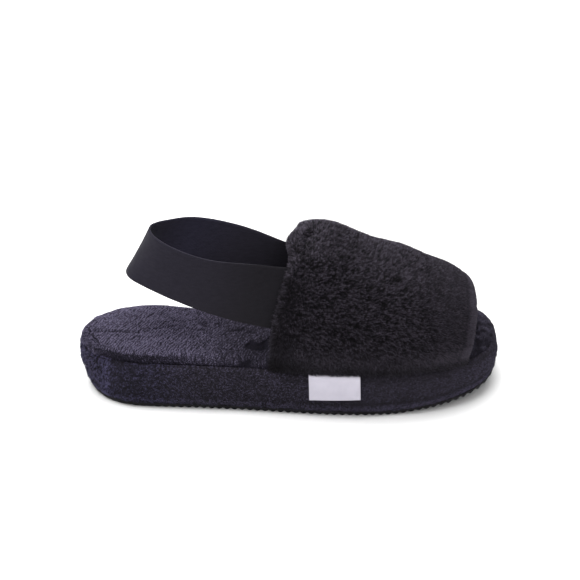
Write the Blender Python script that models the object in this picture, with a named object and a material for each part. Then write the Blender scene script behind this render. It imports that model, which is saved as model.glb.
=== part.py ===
"""Slingback platform slipper, right foot, built as it is sewn and stuck together.

outsole     thin rippled rubber sheet with toe spring and a rolled heel
midsole     foam platform wrapped in short fleece, ending at the footbed seam
insole      padded fleece footbed standing a few millimetres proud of that seam
vamp        deep-pile band over the forefoot, one hollow wall, open at toe, rear and underneath
heel_strap  flat elastic sewn inside both rear edges of the vamp and passing behind the heel
label       small plain woven tag on the lateral wall, its top edge under the pile

Millimetres below, metres in the scene. Toe +X, walker's left (medial) +Y, up +Z.
"""

import bmesh
import bpy
import numpy as np

MM = 0.001
GAP = 0.3  # clearance between pieces that touch

# ---------------------------------------------------------------- sole sizes
SOLE_LENGTH = 262.0
OUTSOLE_THICK = 3.2
PLATFORM_TOP = 30.0  # height of the footbed seam
TOE_SPRING = 10.0  # lift of the outsole at the toe tip
TOE_SPRING_FROM = 62.0  # x where the lift begins
TOE_SPRING_BEND = 1.4  # power of the lift
HEEL_ROLL = 3.0  # lift of the outsole at the heel tip
HEEL_ROLL_FROM = -108.0
HEEL_TUCK = 2.8  # how far the heel wall leans in at the ground
TOE_TUCK = -1.0  # the toe wall leans out instead
END_REACH = 36.0  # length of sole over which the tucks fade in
RING_POINTS = 88  # points round the sole, even

# widest outline of the sole, a row for each section from heel to toe
SOLE_SECTIONS = (
    # name, share of length, lateral half width, medial half width
    ("heel_back", 0.035, 22.5, 21.5),
    ("heel_turn", 0.110, 35.0, 34.3),
    ("heel_seat", 0.220, 38.8, 36.5),
    ("waist", 0.420, 43.2, 37.0),
    ("joint", 0.600, 48.4, 43.0),
    ("ball", 0.710, 48.6, 47.5),
    ("toes", 0.830, 43.5, 49.0),
    ("toe_turn", 0.930, 31.0, 45.4),
    ("toe_end", 0.985, 13.0, 31.0),
)
HEEL_TIP_Y = 0.5
TOE_TIP_Y = 7.0

# the wrapped wall from the outsole up to the seam
WALL_LEVELS = (
    # name, share of wall height, inset from the widest outline
    ("foot", 0.00, 2.9),
    ("low", 0.22, 1.6),
    ("belly", 0.62, 0.0),
    ("shoulder", 0.86, 0.5),
    ("turn", 0.97, 1.9),
    ("seam", 1.00, 3.6),
)
OUTSOLE_LEVELS = (
    # name, share of outsole thickness, inset
    ("tread", 0.00, 3.6),
    ("edge", 0.30, 2.9),
    ("top", 1.00, 2.8),
)
INSOLE_LEVELS = (
    # name, height over the seam, inset
    ("base", GAP, 4.6),
    ("side", 2.2, 3.9),
    ("roll", 4.6, 4.6),
    ("brow", 5.8, 7.6),
)
INSOLE_CROWN = 1.6  # extra height along the middle of the footbed
INSOLE_COLUMNS = 8  # strips across the footbed

# ---------------------------------------------------------------- vamp sizes
PILE_WALL = 8.0  # backing, lining and pile together
FOOT_PINCH = 0.62  # share of that wall left where it is sewn down
PINCH_REACH = 0.35  # angle up the section over which the wall fills out, radians
REAR_ROLL = 0.16  # share of the vamp's length taken by the rounded rear edge
FRONT_ROLL = 0.22  # the same at the toe
RIM_REACH = 4.0  # how far the rounded rims stand out past the edges
RIM_NOSE = 0.30  # share of the wall where the rims stand out furthest
VAMP_INSET = 3.2  # inner foot of the wall, in from the widest outline
VAMP_FOOT = 0.3  # inner foot of the wall, over the seam height
VAMP_FULLNESS = 0.88  # 1 is a half ellipse, less is squarer at the shoulders
VAMP_LENGTH = 105.0  # rear edge to front edge, used to scale the rolls
REAR_LINE = (
    # degrees from the lateral foot over the crown to the medial foot, rear edge's x
    (0, -7.2),
    (15, -5.2),
    (30, -1.9),
    (45, 1.8),
    (58, 4.2),
    (68, 3.6),
    (76, 2.2),
    (84, 4.4),
    (92, 8.0),
    (105, 9.4),
    (120, 9.4),
    (140, 8.6),
    (160, 7.2),
    (180, 6.0),
)
FRONT_EDGE = {"lateral": 104.5, "medial": 104.5, "lean": 6.8, "bow": 1.4}
VAMP_SECTIONS = (
    # name, share from rear to front, inner height, crown towards medial side
    ("instep_edge", 0.00, 69.6, 3.0),
    ("instep", 0.17, 66.7, 3.2),
    ("upper_band", 0.37, 56.9, 4.0),
    ("middle_band", 0.55, 50.6, 4.8),
    ("lower_band", 0.75, 40.7, 5.2),
    ("toe_band", 0.93, 32.6, 5.5),
    ("toe_edge", 1.00, 27.6, 5.5),
)
VAMP_ROWS = 9  # across the full wall, between the two rolls
VAMP_COLUMNS = 31  # lateral foot over the crown to medial foot
ROLL_TURNS = (25.0, 52.0, 78.0, 90.0)  # degrees round each rolled edge

# ---------------------------------------------------------------- strap sizes
STRAP_WIDTH = 35.8
STRAP_THICK = 1.6
STRAP_SEWN = 0.14  # share of the vamp's length that the ends reach in
STRAP_COLUMNS = 5
STRAP_STATIONS = 57
STRAP_ENDS = (
    # side, angle up the vamp section at the lower edge, and at the upper edge
    ("lateral", 19.6, 57.2),
    ("medial", 13.1, 42.8),
)
STRAP_FREE = (
    # name, lower edge x, y, z, upper edge x, y, z
    ("lateral_side", -38.7, -39.2, 64.7, -24.9, -32.1, 97.0),
    ("lateral_rear", -68.9, -27.5, 70.4, -52.0, -33.3, 101.5),
    ("lateral_turn", -88.0, -14.4, 73.1, -77.6, -19.6, 107.0),
    ("back", -99.2, -0.4, 74.8, -83.6, 0.4, 107.0),
    ("medial_turn", -94.1, 17.1, 74.3, -74.3, 13.9, 103.9),
    ("medial_rear", -67.9, 29.9, 66.6, -55.9, 25.3, 100.0),
    ("medial_side", -40.6, 35.9, 59.7, -22.7, 30.8, 90.3),
)

# ---------------------------------------------------------------- label sizes
LABEL_FROM_X = 12.0
LABEL_WIDTH = 32.2
LABEL_LOW = 12.4
LABEL_HIGH = 29.4
LABEL_THICK = 0.6
LABEL_LIFT = 0.5  # off the wall behind it
LABEL_ROWS = 10

# colour (linear), roughness
FINISHES = {
    "outsole": ((0.010, 0.009, 0.011), 0.75),
    "midsole": ((0.026, 0.024, 0.036), 0.95),
    "insole": ((0.040, 0.037, 0.055), 0.95),
    "vamp": ((0.016, 0.015, 0.018), 0.85),
    "heel_strap": ((0.022, 0.021, 0.027), 0.80),
    "label": ((0.70, 0.68, 0.76), 0.70),
}


# ---------------------------------------------------------------- curves
def smoothstep(value):
    value = np.clip(value, 0.0, 1.0)
    return value * value * (3.0 - 2.0 * value)


def cubic(knots, points, at, closed=False):
    """C2 cubic through points at the given knots, natural at open ends."""
    points = np.asarray(points, float)
    count = len(points)
    step = np.diff(knots)
    spans = count if closed else count - 1
    system = np.zeros((count, count))
    right = np.zeros_like(points)
    for i in range(count):
        if not closed and i in (0, count - 1):
            system[i, i] = 1.0
            continue
        before, after = step[i - 1], step[i]
        follows = (i + 1) % count
        system[i, i - 1] += before
        system[i, i] += 2.0 * (before + after)
        system[i, follows] += after
        right[i] = 6.0 * (
            (points[follows] - points[i]) / after - (points[i] - points[i - 1]) / before
        )
    bend = np.linalg.solve(system, right)
    i = np.clip(np.searchsorted(knots, at, side="right") - 1, 0, spans - 1)
    j = (i + 1) % count
    width = step[i][:, None]
    a = (knots[i + 1] - at)[:, None]
    b = (at - knots[i])[:, None]
    return (
        (bend[i] * a**3 + bend[j] * b**3) / (6.0 * width)
        + (points[i] / width - bend[i] * width / 6.0) * a
        + (points[j] / width - bend[j] * width / 6.0) * b
    )


def chord_knots(points, closed=False):
    points = np.asarray(points, float)
    ahead = np.vstack([points[1:], points[:1]]) if closed else points[1:]
    span = np.linalg.norm(ahead - points[: len(ahead)], axis=1) ** 0.75
    return np.concatenate([[0.0], np.cumsum(span)])


def evenly(path, count):
    """count points spread evenly along a fine path, ends included."""
    run = np.concatenate(
        [[0.0], np.cumsum(np.linalg.norm(np.diff(path, axis=0), axis=1))]
    )
    at = np.linspace(0.0, run[-1], count)
    return np.stack([np.interp(at, run, path[:, k]) for k in range(path.shape[1])], 1)


def outline_halves():
    """The widest outline as two fine paths from heel tip to toe tip: lateral, medial."""
    start = -SOLE_LENGTH / 2.0
    lateral = [(start + f * SOLE_LENGTH, -a) for _, f, a, _ in SOLE_SECTIONS]
    medial = [(start + f * SOLE_LENGTH, b) for _, f, _, b in SOLE_SECTIONS]
    around = [(start, HEEL_TIP_Y), *lateral, (-start, TOE_TIP_Y), *medial[::-1]]
    knots = chord_knots(around, closed=True)
    toe = knots[len(lateral) + 1]
    near = cubic(knots, around, np.linspace(0.0, toe, 900), closed=True)
    far = cubic(knots, around, np.linspace(toe, knots[-1], 900), closed=True)
    return near, far[::-1]


LATERAL_LINE, MEDIAL_LINE = outline_halves()


def half_width(x, side):
    line = LATERAL_LINE if side == "lateral" else MEDIAL_LINE
    middle = slice(20, -20)
    return np.abs(np.interp(x, line[middle, 0], line[middle, 1]))


def sole_ring():
    """Ring points of the widest outline, and the outward normal at each.
    Point 0 is the heel tip and point RING_POINTS / 2 is the toe tip."""
    half = RING_POINTS // 2
    near = evenly(LATERAL_LINE, half + 1)
    far = evenly(MEDIAL_LINE, half + 1)
    ring = np.vstack([near, far[-2:0:-1]])
    along = np.roll(ring, -1, 0) - np.roll(ring, 1, 0)
    along /= np.linalg.norm(along, axis=1)[:, None]
    return ring, np.stack([along[:, 1], -along[:, 0]], 1)


def ground(x):
    """Underside of the outsole: flat, lifting at the toe and a little at the heel."""
    toe = np.clip((x - TOE_SPRING_FROM) / (SOLE_LENGTH / 2 - TOE_SPRING_FROM), 0, None)
    heel = np.clip(
        (HEEL_ROLL_FROM - x) / (SOLE_LENGTH / 2 + HEEL_ROLL_FROM), 0, None
    )
    return TOE_SPRING * toe**TOE_SPRING_BEND + HEEL_ROLL * heel**2


def tuck(x, share):
    """Extra inset low on the wall round the heel and the toe."""
    heel = smoothstep((-SOLE_LENGTH / 2 + END_REACH - x) / END_REACH)
    toe = smoothstep((x - SOLE_LENGTH / 2 + END_REACH) / END_REACH)
    return (HEEL_TUCK * heel + TOE_TUCK * toe) * (1.0 - share) ** 1.6


def wall_base(x):
    return ground(x) + OUTSOLE_THICK + GAP


def wall_inset(x, z):
    """Inset of the wrapped wall at height z over the section at x."""
    share = np.clip((z - wall_base(x)) / (PLATFORM_TOP - wall_base(x)), 0.0, 1.0)
    shares = [s for _, s, _ in WALL_LEVELS]
    insets = [i for _, _, i in WALL_LEVELS]
    return np.interp(share, shares, insets) + tuck(x, share)


# ---------------------------------------------------------------- meshes
def new_object(name, build):
    bm = bmesh.new()
    build(bm)
    bmesh.ops.recalc_face_normals(bm, faces=bm.faces)
    mesh = bpy.data.meshes.new(name)
    bm.to_mesh(mesh)
    bm.free()
    mesh.shade_smooth()
    mesh.set_sharp_from_angle(angle=0.7)
    obj = bpy.data.objects.new(name, mesh)
    bpy.context.scene.collection.objects.link(obj)
    colour, roughness = FINISHES[name]
    material = bpy.data.materials.new(name)
    material.use_nodes = True
    shader = material.node_tree.nodes["Principled BSDF"]
    shader.inputs["Base Color"].default_value = (*colour, 1.0)
    shader.inputs["Roughness"].default_value = roughness
    shader.inputs["Metallic"].default_value = 0.0
    mesh.materials.append(material)
    return obj


def add_points(bm, points):
    return [bm.verts.new(tuple(float(v) * MM for v in p)) for p in points]


def skin(bm, loops, closed):
    """Quads between each loop of vertices and the next."""
    for low, high in zip(loops, loops[1:]):
        count = len(low)
        for i in range(count if closed else count - 1):
            j = (i + 1) % count
            bm.faces.new((low[i], low[j], high[j], high[i]))


def ladder(bm, ring):
    """Closes a sole ring with one strip of rungs from heel tip to toe tip."""
    half = len(ring) // 2
    for i in range(half):
        a, b = ring[i], ring[i + 1]
        c, d = ring[(-i - 1) % len(ring)], ring[-i % len(ring)]
        corners = [a] + [v for v in (b, c, d) if v is not a]
        bm.faces.new(list(dict.fromkeys(corners)))


def crowned_ladder(bm, ring, points, rise):
    """Closes a sole ring with rungs of several strips, lifted along the middle."""
    half = len(ring) // 2
    shares = np.linspace(0.0, 1.0, INSOLE_COLUMNS + 1)
    rungs = []
    for i in range(half + 1):
        j = -i % len(ring)
        if i in (0, half):
            rungs.append([ring[i]] * len(shares))
            continue
        left, right = points[i], points[j]
        span = np.linalg.norm(right - left)
        inner = []
        for s in shares[1:-1]:
            p = left + (right - left) * s
            p[2] += rise * np.sin(np.pi * s) * smoothstep(span / 45.0)
            inner.append(p)
        rungs.append([ring[i], *add_points(bm, inner), ring[j]])
    for low, high in zip(rungs, rungs[1:]):
        for k in range(len(shares) - 1):
            corners = dict.fromkeys((low[k], low[k + 1], high[k + 1], high[k]))
            bm.faces.new(list(corners))


def stack(bm, levels):
    """Rings of the sole, one per (inset, z) pair of arrays, skinned together."""
    ring, outward = sole_ring()
    rings, points = [], []
    for inset, z in levels:
        at = ring - outward * inset[:, None]
        points.append(np.column_stack([at, z(at[:, 0]) if callable(z) else z]))
        rings.append(add_points(bm, points[-1]))
    skin(bm, rings, closed=True)
    return rings, points


def build_outsole(bm):
    x = sole_ring()[0][:, 0]
    levels = [
        (inset + tuck(x, 0.0), lambda at, s=share: ground(at) + s * OUTSOLE_THICK)
        for _, share, inset in OUTSOLE_LEVELS
    ]
    rings, _ = stack(bm, levels)
    ladder(bm, rings[0])
    ladder(bm, rings[-1])


def build_midsole(bm):
    x = sole_ring()[0][:, 0]
    levels = [
        (
            inset + tuck(x, share),
            lambda at, s=share: wall_base(at) + s * (PLATFORM_TOP - wall_base(at)),
        )
        for _, share, inset in WALL_LEVELS
    ]
    rings, _ = stack(bm, levels)
    ladder(bm, rings[0])
    ladder(bm, rings[-1])


def build_insole(bm):
    x = sole_ring()[0][:, 0]
    levels = [
        (np.full(len(x), inset), lambda at, h=height: np.full(len(at), PLATFORM_TOP + h))
        for _, height, inset in INSOLE_LEVELS
    ]
    rings, points = stack(bm, levels)
    ladder(bm, rings[0])
    crowned_ladder(bm, rings[-1], points[-1], INSOLE_CROWN)


# ---------------------------------------------------------------- vamp
def vamp_table(share):
    shares = np.array([r[1] for r in VAMP_SECTIONS])
    values = np.array([r[2:] for r in VAMP_SECTIONS])
    share = np.atleast_1d(np.asarray(share, float))
    return cubic(shares, values, np.clip(share, 0.0, 1.0))


def vamp_inner(share, angle):
    """Inner face of the vamp. share runs rear to front, angle from the lateral foot
    (0) over the crown (pi / 2) to the medial foot (pi)."""
    share, angle = np.broadcast_arrays(
        np.asarray(share, float), np.asarray(angle, float)
    )
    flat = share.ravel()
    height, crown = vamp_table(flat).T
    turn = angle.ravel()
    up = np.abs(np.sin(turn))
    across = np.cos(turn)
    near = across > 0.0
    side = (1.0 - across) / 2.0  # 0 lateral, 1 medial
    line = np.array(REAR_LINE, float)
    rear = cubic(line[:, 0], line[:, 1:], np.clip(np.degrees(turn), 0.0, 180.0))[:, 0]
    front = (
        FRONT_EDGE["lateral"] * (1 - side)
        + FRONT_EDGE["medial"] * side
        + FRONT_EDGE["lean"] * up ** FRONT_EDGE["bow"]
    )
    foot_x = np.where(
        near,
        REAR_LINE[0][1] * (1 - flat) + FRONT_EDGE["lateral"] * flat,
        REAR_LINE[-1][1] * (1 - flat) + FRONT_EDGE["medial"] * flat,
    )
    foot_y = np.where(
        near,
        -half_width(foot_x, "lateral") + VAMP_INSET,
        half_width(foot_x, "medial") - VAMP_INSET,
    )
    y = crown + (foot_y - crown) * np.abs(across) ** VAMP_FULLNESS
    z = PLATFORM_TOP + VAMP_FOOT + height * up**VAMP_FULLNESS
    x = rear * (1 - flat) + front * flat
    return np.stack([x, y, z], -1).reshape(*share.shape, 3)


def vamp_frame(share, angle):
    """Point of the inner face, unit tangent towards the toe, unit normal outwards."""
    e = 2e-3
    share, angle = np.broadcast_arrays(
        np.asarray(share, float), np.asarray(angle, float)
    )
    low, high = np.clip(share - e, 0, 1), np.clip(share + e, 0, 1)
    forward = vamp_inner(high, angle) - vamp_inner(low, angle)
    left, right = np.clip(angle - e, 0.03, None), np.clip(angle + e, None, np.pi - 0.03)
    left, right = np.minimum(left, right - e), np.maximum(right, left + e)
    over = vamp_inner(share, right) - vamp_inner(share, left)
    forward /= np.linalg.norm(forward, axis=-1)[..., None]
    normal = np.cross(forward, over)
    normal /= np.linalg.norm(normal, axis=-1)[..., None]
    return vamp_inner(share, angle), forward, normal


def vamp_angles():
    """Column angles spread evenly along the middle section."""
    fine = np.linspace(0.0, np.pi, 721)
    path = vamp_inner(np.full(fine.shape, 0.4), fine)
    run = np.concatenate(
        [[0.0], np.cumsum(np.linalg.norm(np.diff(path, axis=0), axis=1))]
    )
    return np.interp(np.linspace(0.0, run[-1], VAMP_COLUMNS), run, fine)


def rolled_edge(roll):
    """Points (share in from the edge, share of the wall) round a rolled edge, from
    the full wall over the nose to just short of the inner face."""
    reach = RIM_REACH / VAMP_LENGTH
    points = []
    for turn in np.radians(ROLL_TURNS):
        points.append(
            (
                roll - (roll + reach) * np.sin(turn),
                RIM_NOSE + (1.0 - RIM_NOSE) * np.cos(turn),
            )
        )
    turn = np.radians(45.0)
    points.append((-reach * np.cos(turn), RIM_NOSE * (1.0 - np.sin(turn))))
    return points


def build_vamp(bm):
    rows = np.linspace(REAR_ROLL, 1.0 - FRONT_ROLL, VAMP_ROWS)
    loops = []
    for angle in vamp_angles():
        foot = min(angle, np.pi - angle)
        fill = FOOT_PINCH + (1.0 - FOOT_PINCH) * smoothstep(foot / PINCH_REACH)

        def place(share, out):
            inside = np.clip(share, 0.0, 1.0)
            point, forward, normal = vamp_frame(inside, angle)
            past = (share - inside) * VAMP_LENGTH
            return point + normal * out * fill * PILE_WALL + forward * past

        inner = [place(s, 0.0) for s in (0.0, *rows, 1.0)]
        front = [place(1.0 - s, out) for s, out in rolled_edge(FRONT_ROLL)[::-1]]
        outer = [place(s, 1.0) for s in rows[::-1]]
        rear = [place(s, out) for s, out in rolled_edge(REAR_ROLL)]
        loops.append(add_points(bm, inner + front + outer + rear))
    skin(bm, loops, closed=True)
    turn = len(ROLL_TURNS) + 1
    for loop in (loops[0], loops[-1]):  # the two feet of the wall
        inside = loop[: VAMP_ROWS + 2]
        front = loop[VAMP_ROWS + 2 : VAMP_ROWS + 2 + turn]
        outside = loop[VAMP_ROWS + 2 + turn : 2 * VAMP_ROWS + 2 + turn][::-1]
        rear = loop[2 * VAMP_ROWS + 2 + turn :]
        for i in range(VAMP_ROWS - 1):
            bm.faces.new(
                (inside[i + 1], inside[i + 2], outside[i + 1], outside[i])
            )
        bm.faces.new((inside[-2], inside[-1], *front, outside[-1]))
        bm.faces.new((outside[0], *rear, inside[0], inside[1]))


# ---------------------------------------------------------------- heel strap
def strap_sheet():
    """Grid of points of the strap's outer face: stations from the lateral end round
    the heel to the medial end, columns from its lower to its upper edge."""
    shares = np.linspace(0.0, 1.0, STRAP_COLUMNS)
    stations = []

    def sewn(side, low, high, reach):
        turn = np.radians(low + (high - low) * shares)
        turn = turn if side == "lateral" else np.pi - turn
        point, _, normal = vamp_frame(np.full(STRAP_COLUMNS, reach), turn)
        return point - normal * (GAP + 0.4)

    for k, (side, low, high) in enumerate(STRAP_ENDS):
        reaches = (STRAP_SEWN, STRAP_SEWN / 2, 0.0)
        ends = [sewn(side, low, high, r) for r in reaches]
        if k == 0:
            stations += ends
            for _, *edge in STRAP_FREE:
                low_edge, high_edge = np.array(edge[:3]), np.array(edge[3:])
                middle = (low_edge + high_edge) / 2
                lean = (high_edge - low_edge) / np.linalg.norm(high_edge - low_edge)
                offsets = (shares - 0.5) * STRAP_WIDTH
                stations.append(middle + offsets[:, None] * lean)
        else:
            stations += ends[::-1]
    stations = np.array(stations)
    knots = chord_knots(stations.mean(axis=1))
    at = np.linspace(0.0, knots[-1], 600)
    flat = cubic(knots, stations.reshape(len(stations), -1), at)
    return evenly(flat, STRAP_STATIONS).reshape(STRAP_STATIONS, STRAP_COLUMNS, 3)


def build_strap(bm):
    sheet = strap_sheet()
    along = np.gradient(sheet, axis=0)
    across = np.gradient(sheet, axis=1)
    inward = np.cross(across, along)
    inward /= np.linalg.norm(inward, axis=-1)[..., None]
    middle = sheet[len(sheet) // 2 : len(sheet) // 2 + 1].mean(axis=(0, 1))
    heart = np.array([-20.0, 0.0, middle[2]])
    if ((heart - middle) * inward[len(sheet) // 2].mean(axis=0)).sum() < 0:
        inward = -inward
    back = sheet + inward * STRAP_THICK
    loops = []
    for outer, inner in zip(sheet, back):
        loops.append(add_points(bm, list(outer) + list(inner[::-1])))
    skin(bm, loops, closed=True)
    n = STRAP_COLUMNS
    for loop in (loops[0], loops[-1]):
        for k in range(n - 1):
            bm.faces.new((loop[k], loop[k + 1], loop[-k - 2], loop[-k - 1]))


# ---------------------------------------------------------------- label
def build_label(bm):
    """Thin plate lying on the lateral wall."""
    layers = []
    for lift in (LABEL_LIFT, LABEL_LIFT + LABEL_THICK):
        rows = []
        for z in np.linspace(LABEL_LOW, LABEL_HIGH, LABEL_ROWS):
            x = np.linspace(LABEL_FROM_X, LABEL_FROM_X + LABEL_WIDTH, 8)
            y = -half_width(x, "lateral") + wall_inset(x, np.full(8, z)) - lift
            rows.append(add_points(bm, np.column_stack([x, y, np.full(8, z)])))
        skin(bm, rows, closed=False)
        layers.append(rows)
    back, front = layers
    rim = lambda g: g[0][:-1] + [r[-1] for r in g[:-1]] + g[-1][:0:-1] + [
        r[0] for r in g[:0:-1]
    ]
    skin(bm, [rim(back), rim(front)], closed=True)


def main():
    for old in list(bpy.data.objects):
        bpy.data.objects.remove(old)
    pieces = [
        new_object("outsole", build_outsole),
        new_object("midsole", build_midsole),
        new_object("insole", build_insole),
        new_object("vamp", build_vamp),
        new_object("heel_strap", build_strap),
        new_object("label", build_label),
    ]
    # the origin goes under the middle of the whole slipper's box, on the floor
    corners = np.array([tuple(v.co) for p in pieces for v in p.data.vertices])
    middle = (corners.min(axis=0) + corners.max(axis=0)) / 2.0
    root = bpy.data.objects.new("slipper", None)
    bpy.context.scene.collection.objects.link(root)
    root.location = (-middle[0], -middle[1], 0.0)
    for piece in pieces:
        piece.parent = root


main()
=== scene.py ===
"""Slingback platform slipper with its cloth, pile and rubber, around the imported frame.

Millimetres in the shape functions, metres in the meshes. Toe +X, medial side +Y, up +Z.
"""

import math

import bpy
import numpy as np
from mathutils import Matrix, Vector


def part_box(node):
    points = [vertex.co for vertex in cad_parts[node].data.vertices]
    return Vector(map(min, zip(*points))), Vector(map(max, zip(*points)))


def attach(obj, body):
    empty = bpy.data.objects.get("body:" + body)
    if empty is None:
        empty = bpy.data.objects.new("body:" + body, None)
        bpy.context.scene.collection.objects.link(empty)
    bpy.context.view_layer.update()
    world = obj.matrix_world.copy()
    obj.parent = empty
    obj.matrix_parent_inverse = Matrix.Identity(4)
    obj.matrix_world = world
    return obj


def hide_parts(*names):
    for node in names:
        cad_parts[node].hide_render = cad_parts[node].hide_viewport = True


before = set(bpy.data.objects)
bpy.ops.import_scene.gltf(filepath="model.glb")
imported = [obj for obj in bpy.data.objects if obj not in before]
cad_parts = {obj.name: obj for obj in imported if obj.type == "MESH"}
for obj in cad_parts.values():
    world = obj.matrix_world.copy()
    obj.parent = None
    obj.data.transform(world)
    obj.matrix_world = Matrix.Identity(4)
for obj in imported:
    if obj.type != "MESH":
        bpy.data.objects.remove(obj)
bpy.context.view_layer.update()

MM = 0.001
RNG = np.random.default_rng(4117)
SPARSE = 1.0

# ================================================================ the shoe's sizes
SOLE_LENGTH = 262.0
OUTSOLE_THICK = 3.2
PLATFORM_TOP = 30.0
TOE_SPRING, TOE_SPRING_FROM, TOE_SPRING_BEND = 8.4, 62.0, 1.4
HEEL_ROLL, HEEL_ROLL_FROM = 3.0, -108.0
HEEL_TUCK, TOE_TUCK, END_REACH = 2.8, -1.0, 36.0
SOLE_SECTIONS = (
    # name, share of length, lateral half width, medial half width
    ("heel_back", 0.035, 22.5, 21.5),
    ("heel_turn", 0.110, 35.0, 34.3),
    ("heel_seat", 0.220, 38.8, 36.5),
    ("waist", 0.420, 43.2, 37.0),
    ("joint", 0.600, 48.4, 43.0),
    ("ball", 0.710, 48.6, 47.5),
    ("toes", 0.830, 43.5, 49.0),
    ("toe_turn", 0.930, 31.0, 45.4),
    ("toe_end", 0.985, 13.0, 31.0),
)
HEEL_TIP_Y, TOE_TIP_Y = 0.5, 7.0

VAMP_INSET, VAMP_FOOT, VAMP_FULLNESS, VAMP_LENGTH = 3.2, 0.3, 0.88, 105.0
REAR_LINE = (
    # degrees from the lateral foot over the crown to the medial foot, rear edge's x
    (0, -8.4),
    (15, -6.8),
    (30, -3.4),
    (45, 0.6),
    (58, 3.6),
    (68, 3.6),
    (76, 2.2),
    (84, 4.4),
    (92, 8.0),
    (105, 9.4),
    (120, 9.4),
    (140, 8.6),
    (160, 7.2),
    (180, 6.0),
)
FRONT_EDGE = {"lateral": 106.5, "medial": 104.5, "lean": 5.9, "bow": 1.4}
VAMP_SECTIONS = (
    # name, share from rear to front, inner height, crown towards medial side
    ("instep_edge", 0.00, 69.6, 3.0),
    ("instep", 0.17, 66.7, 3.2),
    ("upper_band", 0.37, 56.9, 4.0),
    ("middle_band", 0.55, 50.6, 4.8),
    ("lower_band", 0.75, 40.7, 5.2),
    ("toe_band", 0.93, 32.6, 5.5),
    ("toe_edge", 1.00, 27.6, 5.5),
)

STRAP_WIDTH, STRAP_THICK, STRAP_SEWN = 35.8, 1.1, 0.14
STRAP_ENDS = (("lateral", 19.6, 57.2), ("medial", 13.1, 42.8))
STRAP_FREE = (
    # name, lower edge x, y, z, upper edge x, y, z
    ("lateral_side", -38.7, -39.2, 64.7, -24.9, -32.1, 97.0),
    ("lateral_rear", -68.9, -27.5, 70.4, -52.0, -33.3, 101.5),
    ("lateral_turn", -88.0, -14.4, 73.1, -77.6, -19.6, 107.0),
    ("back", -99.2, -0.4, 74.8, -83.6, 0.4, 107.0),
    ("medial_turn", -94.1, 17.1, 74.7, -74.3, 13.9, 104.5),
    ("medial_rear", -67.9, 29.9, 67.4, -55.9, 25.3, 101.0),
    ("medial_side", -40.6, 35.9, 59.7, -22.7, 30.8, 90.3),
)
LABEL_FROM_X, LABEL_WIDTH, LABEL_LOW, LABEL_HIGH, LABEL_RISE = 12.0, 32.2, 12.8, 29.9, 1.4

WALL_LEVELS = (
    # share of wall height, inset from the widest outline
    (0.00, 2.9),
    (0.05, 2.3),
    (0.22, 1.5),
    (0.62, 0.0),
    (0.86, 0.5),
    (0.97, 1.9),
    (1.00, 3.3),
)

# ================================================================ surface marks
# soft troughs pressed into the footbed
FOOTBED_DENTS = (
    # name, x, y, half length, half width, turn in degrees, depth, how dark the nap lies; for toe_gap and
    # toe_gap_side this darkness is painted shadow under the vamp's front edge
    ("heel_line", -104.0, -7.4, 15.0, 1.3, -5.0, 0.75, 0.60),
    ("heel_line_rise", -84.5, -5.6, 8.0, 1.2, 18.0, 0.6, 0.45),
    ("heel_line_tail", -74.0, -2.0, 5.0, 1.8, 20.0, 0.5, 0.35),
    ("middle_press", -53.0, 3.2, 3.0, 3.2, -10.0, 0.9, 0.52),
    ("middle_pinch", -54.0, -3.6, 3.4, 1.5, 20.0, 0.8, 0.50),
    ("middle_spot", -44.0, 4.6, 1.8, 1.4, 0.0, 0.5, 0.45),
    ("waist_press", -33.0, -4.0, 6.5, 1.7, 6.0, 0.6, 0.60),
    ("waist_press_end", -24.0, -6.5, 3.5, 2.0, -20.0, 0.6, 0.35),
    ("small_press", -80.0, -14.0, 4.0, 2.2, 15.0, 0.4, 0.10),
    ("far_press", -88.0, 14.0, 9.0, 4.0, 10.0, 0.45, 0.15),
    ("toe_gap", 117.4, -7.0, 15.0, 3.4, 82.0, 1.6, 0.10),
    ("toe_gap_side", 113.6, -28.0, 6.0, 2.6, 74.0, 1.2, 0.10),
    ("toe_press", 121.5, 8.0, 5.0, 2.0, 60.0, 0.5, 0.20),
)
# where the footbed's nap is folded under and lies dark, with plain edges
FOOTBED_PATCHES = (
    ("waist_fold", ((-26.6, -21.0), (-24.9, -18.4), (-23.0, -16.0), (-19.3, -19.2), (-16.8, -18.5), (-13.2, -12.8),
                    (-11.1, -10.2), (-12.0, -17.8), (-12.9, -26.0), (-16.8, -27.4), (-19.9, -27.2), (-25.4, -25.3))),
    ("seam_notch", ((-28.6, -35.6), (-25.0, -34.2), (-22.8, -34.0), (-22.9, -43.0), (-28.6, -42.0))),
)
# upright folds in the wrapped wall, lateral side first
WRAP_FOLDS = (
    # name, x, side, half width, depth, lean in mm over the wall
    ("heel_corner", -110.0, -1, 2.0, 1.0, 1.0),
    ("heel_soft", -88.0, -1, 6.0, 0.5, -4.0),
    ("waist_soft", -34.0, -1, 8.0, 0.45, 5.0),
    ("joint_soft", 62.0, -1, 9.0, 0.4, -6.0),
    ("toe_soft", 104.0, -1, 4.0, 0.6, 3.0),
    ("medial_heel", -96.0, 1, 3.0, 0.7, -2.0),
    ("medial_waist", -15.0, 1, 8.0, 0.5, 4.0),
    ("medial_ball", 70.0, 1, 7.0, 0.5, -4.0),
)


# ================================================================ numbers
def smoothstep(value):
    value = np.clip(value, 0.0, 1.0)
    return value * value * (3.0 - 2.0 * value)


def unit(v):
    return v / (np.linalg.norm(v, axis=-1)[..., None] + 1e-12)


def hashed(ix, iy, iz, seed):
    n = (
        ix.astype(np.int64) * 374761393
        + iy.astype(np.int64) * 668265263
        + iz.astype(np.int64) * 2147483647
        + seed * 1274126177
    )
    n = (n ^ (n >> 13)) * 1274126177
    n = n & 0x7FFFFFFF
    n = (n ^ (n >> 16)) & 0xFFFFFF
    return n / float(0xFFFFFF) * 2.0 - 1.0


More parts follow.
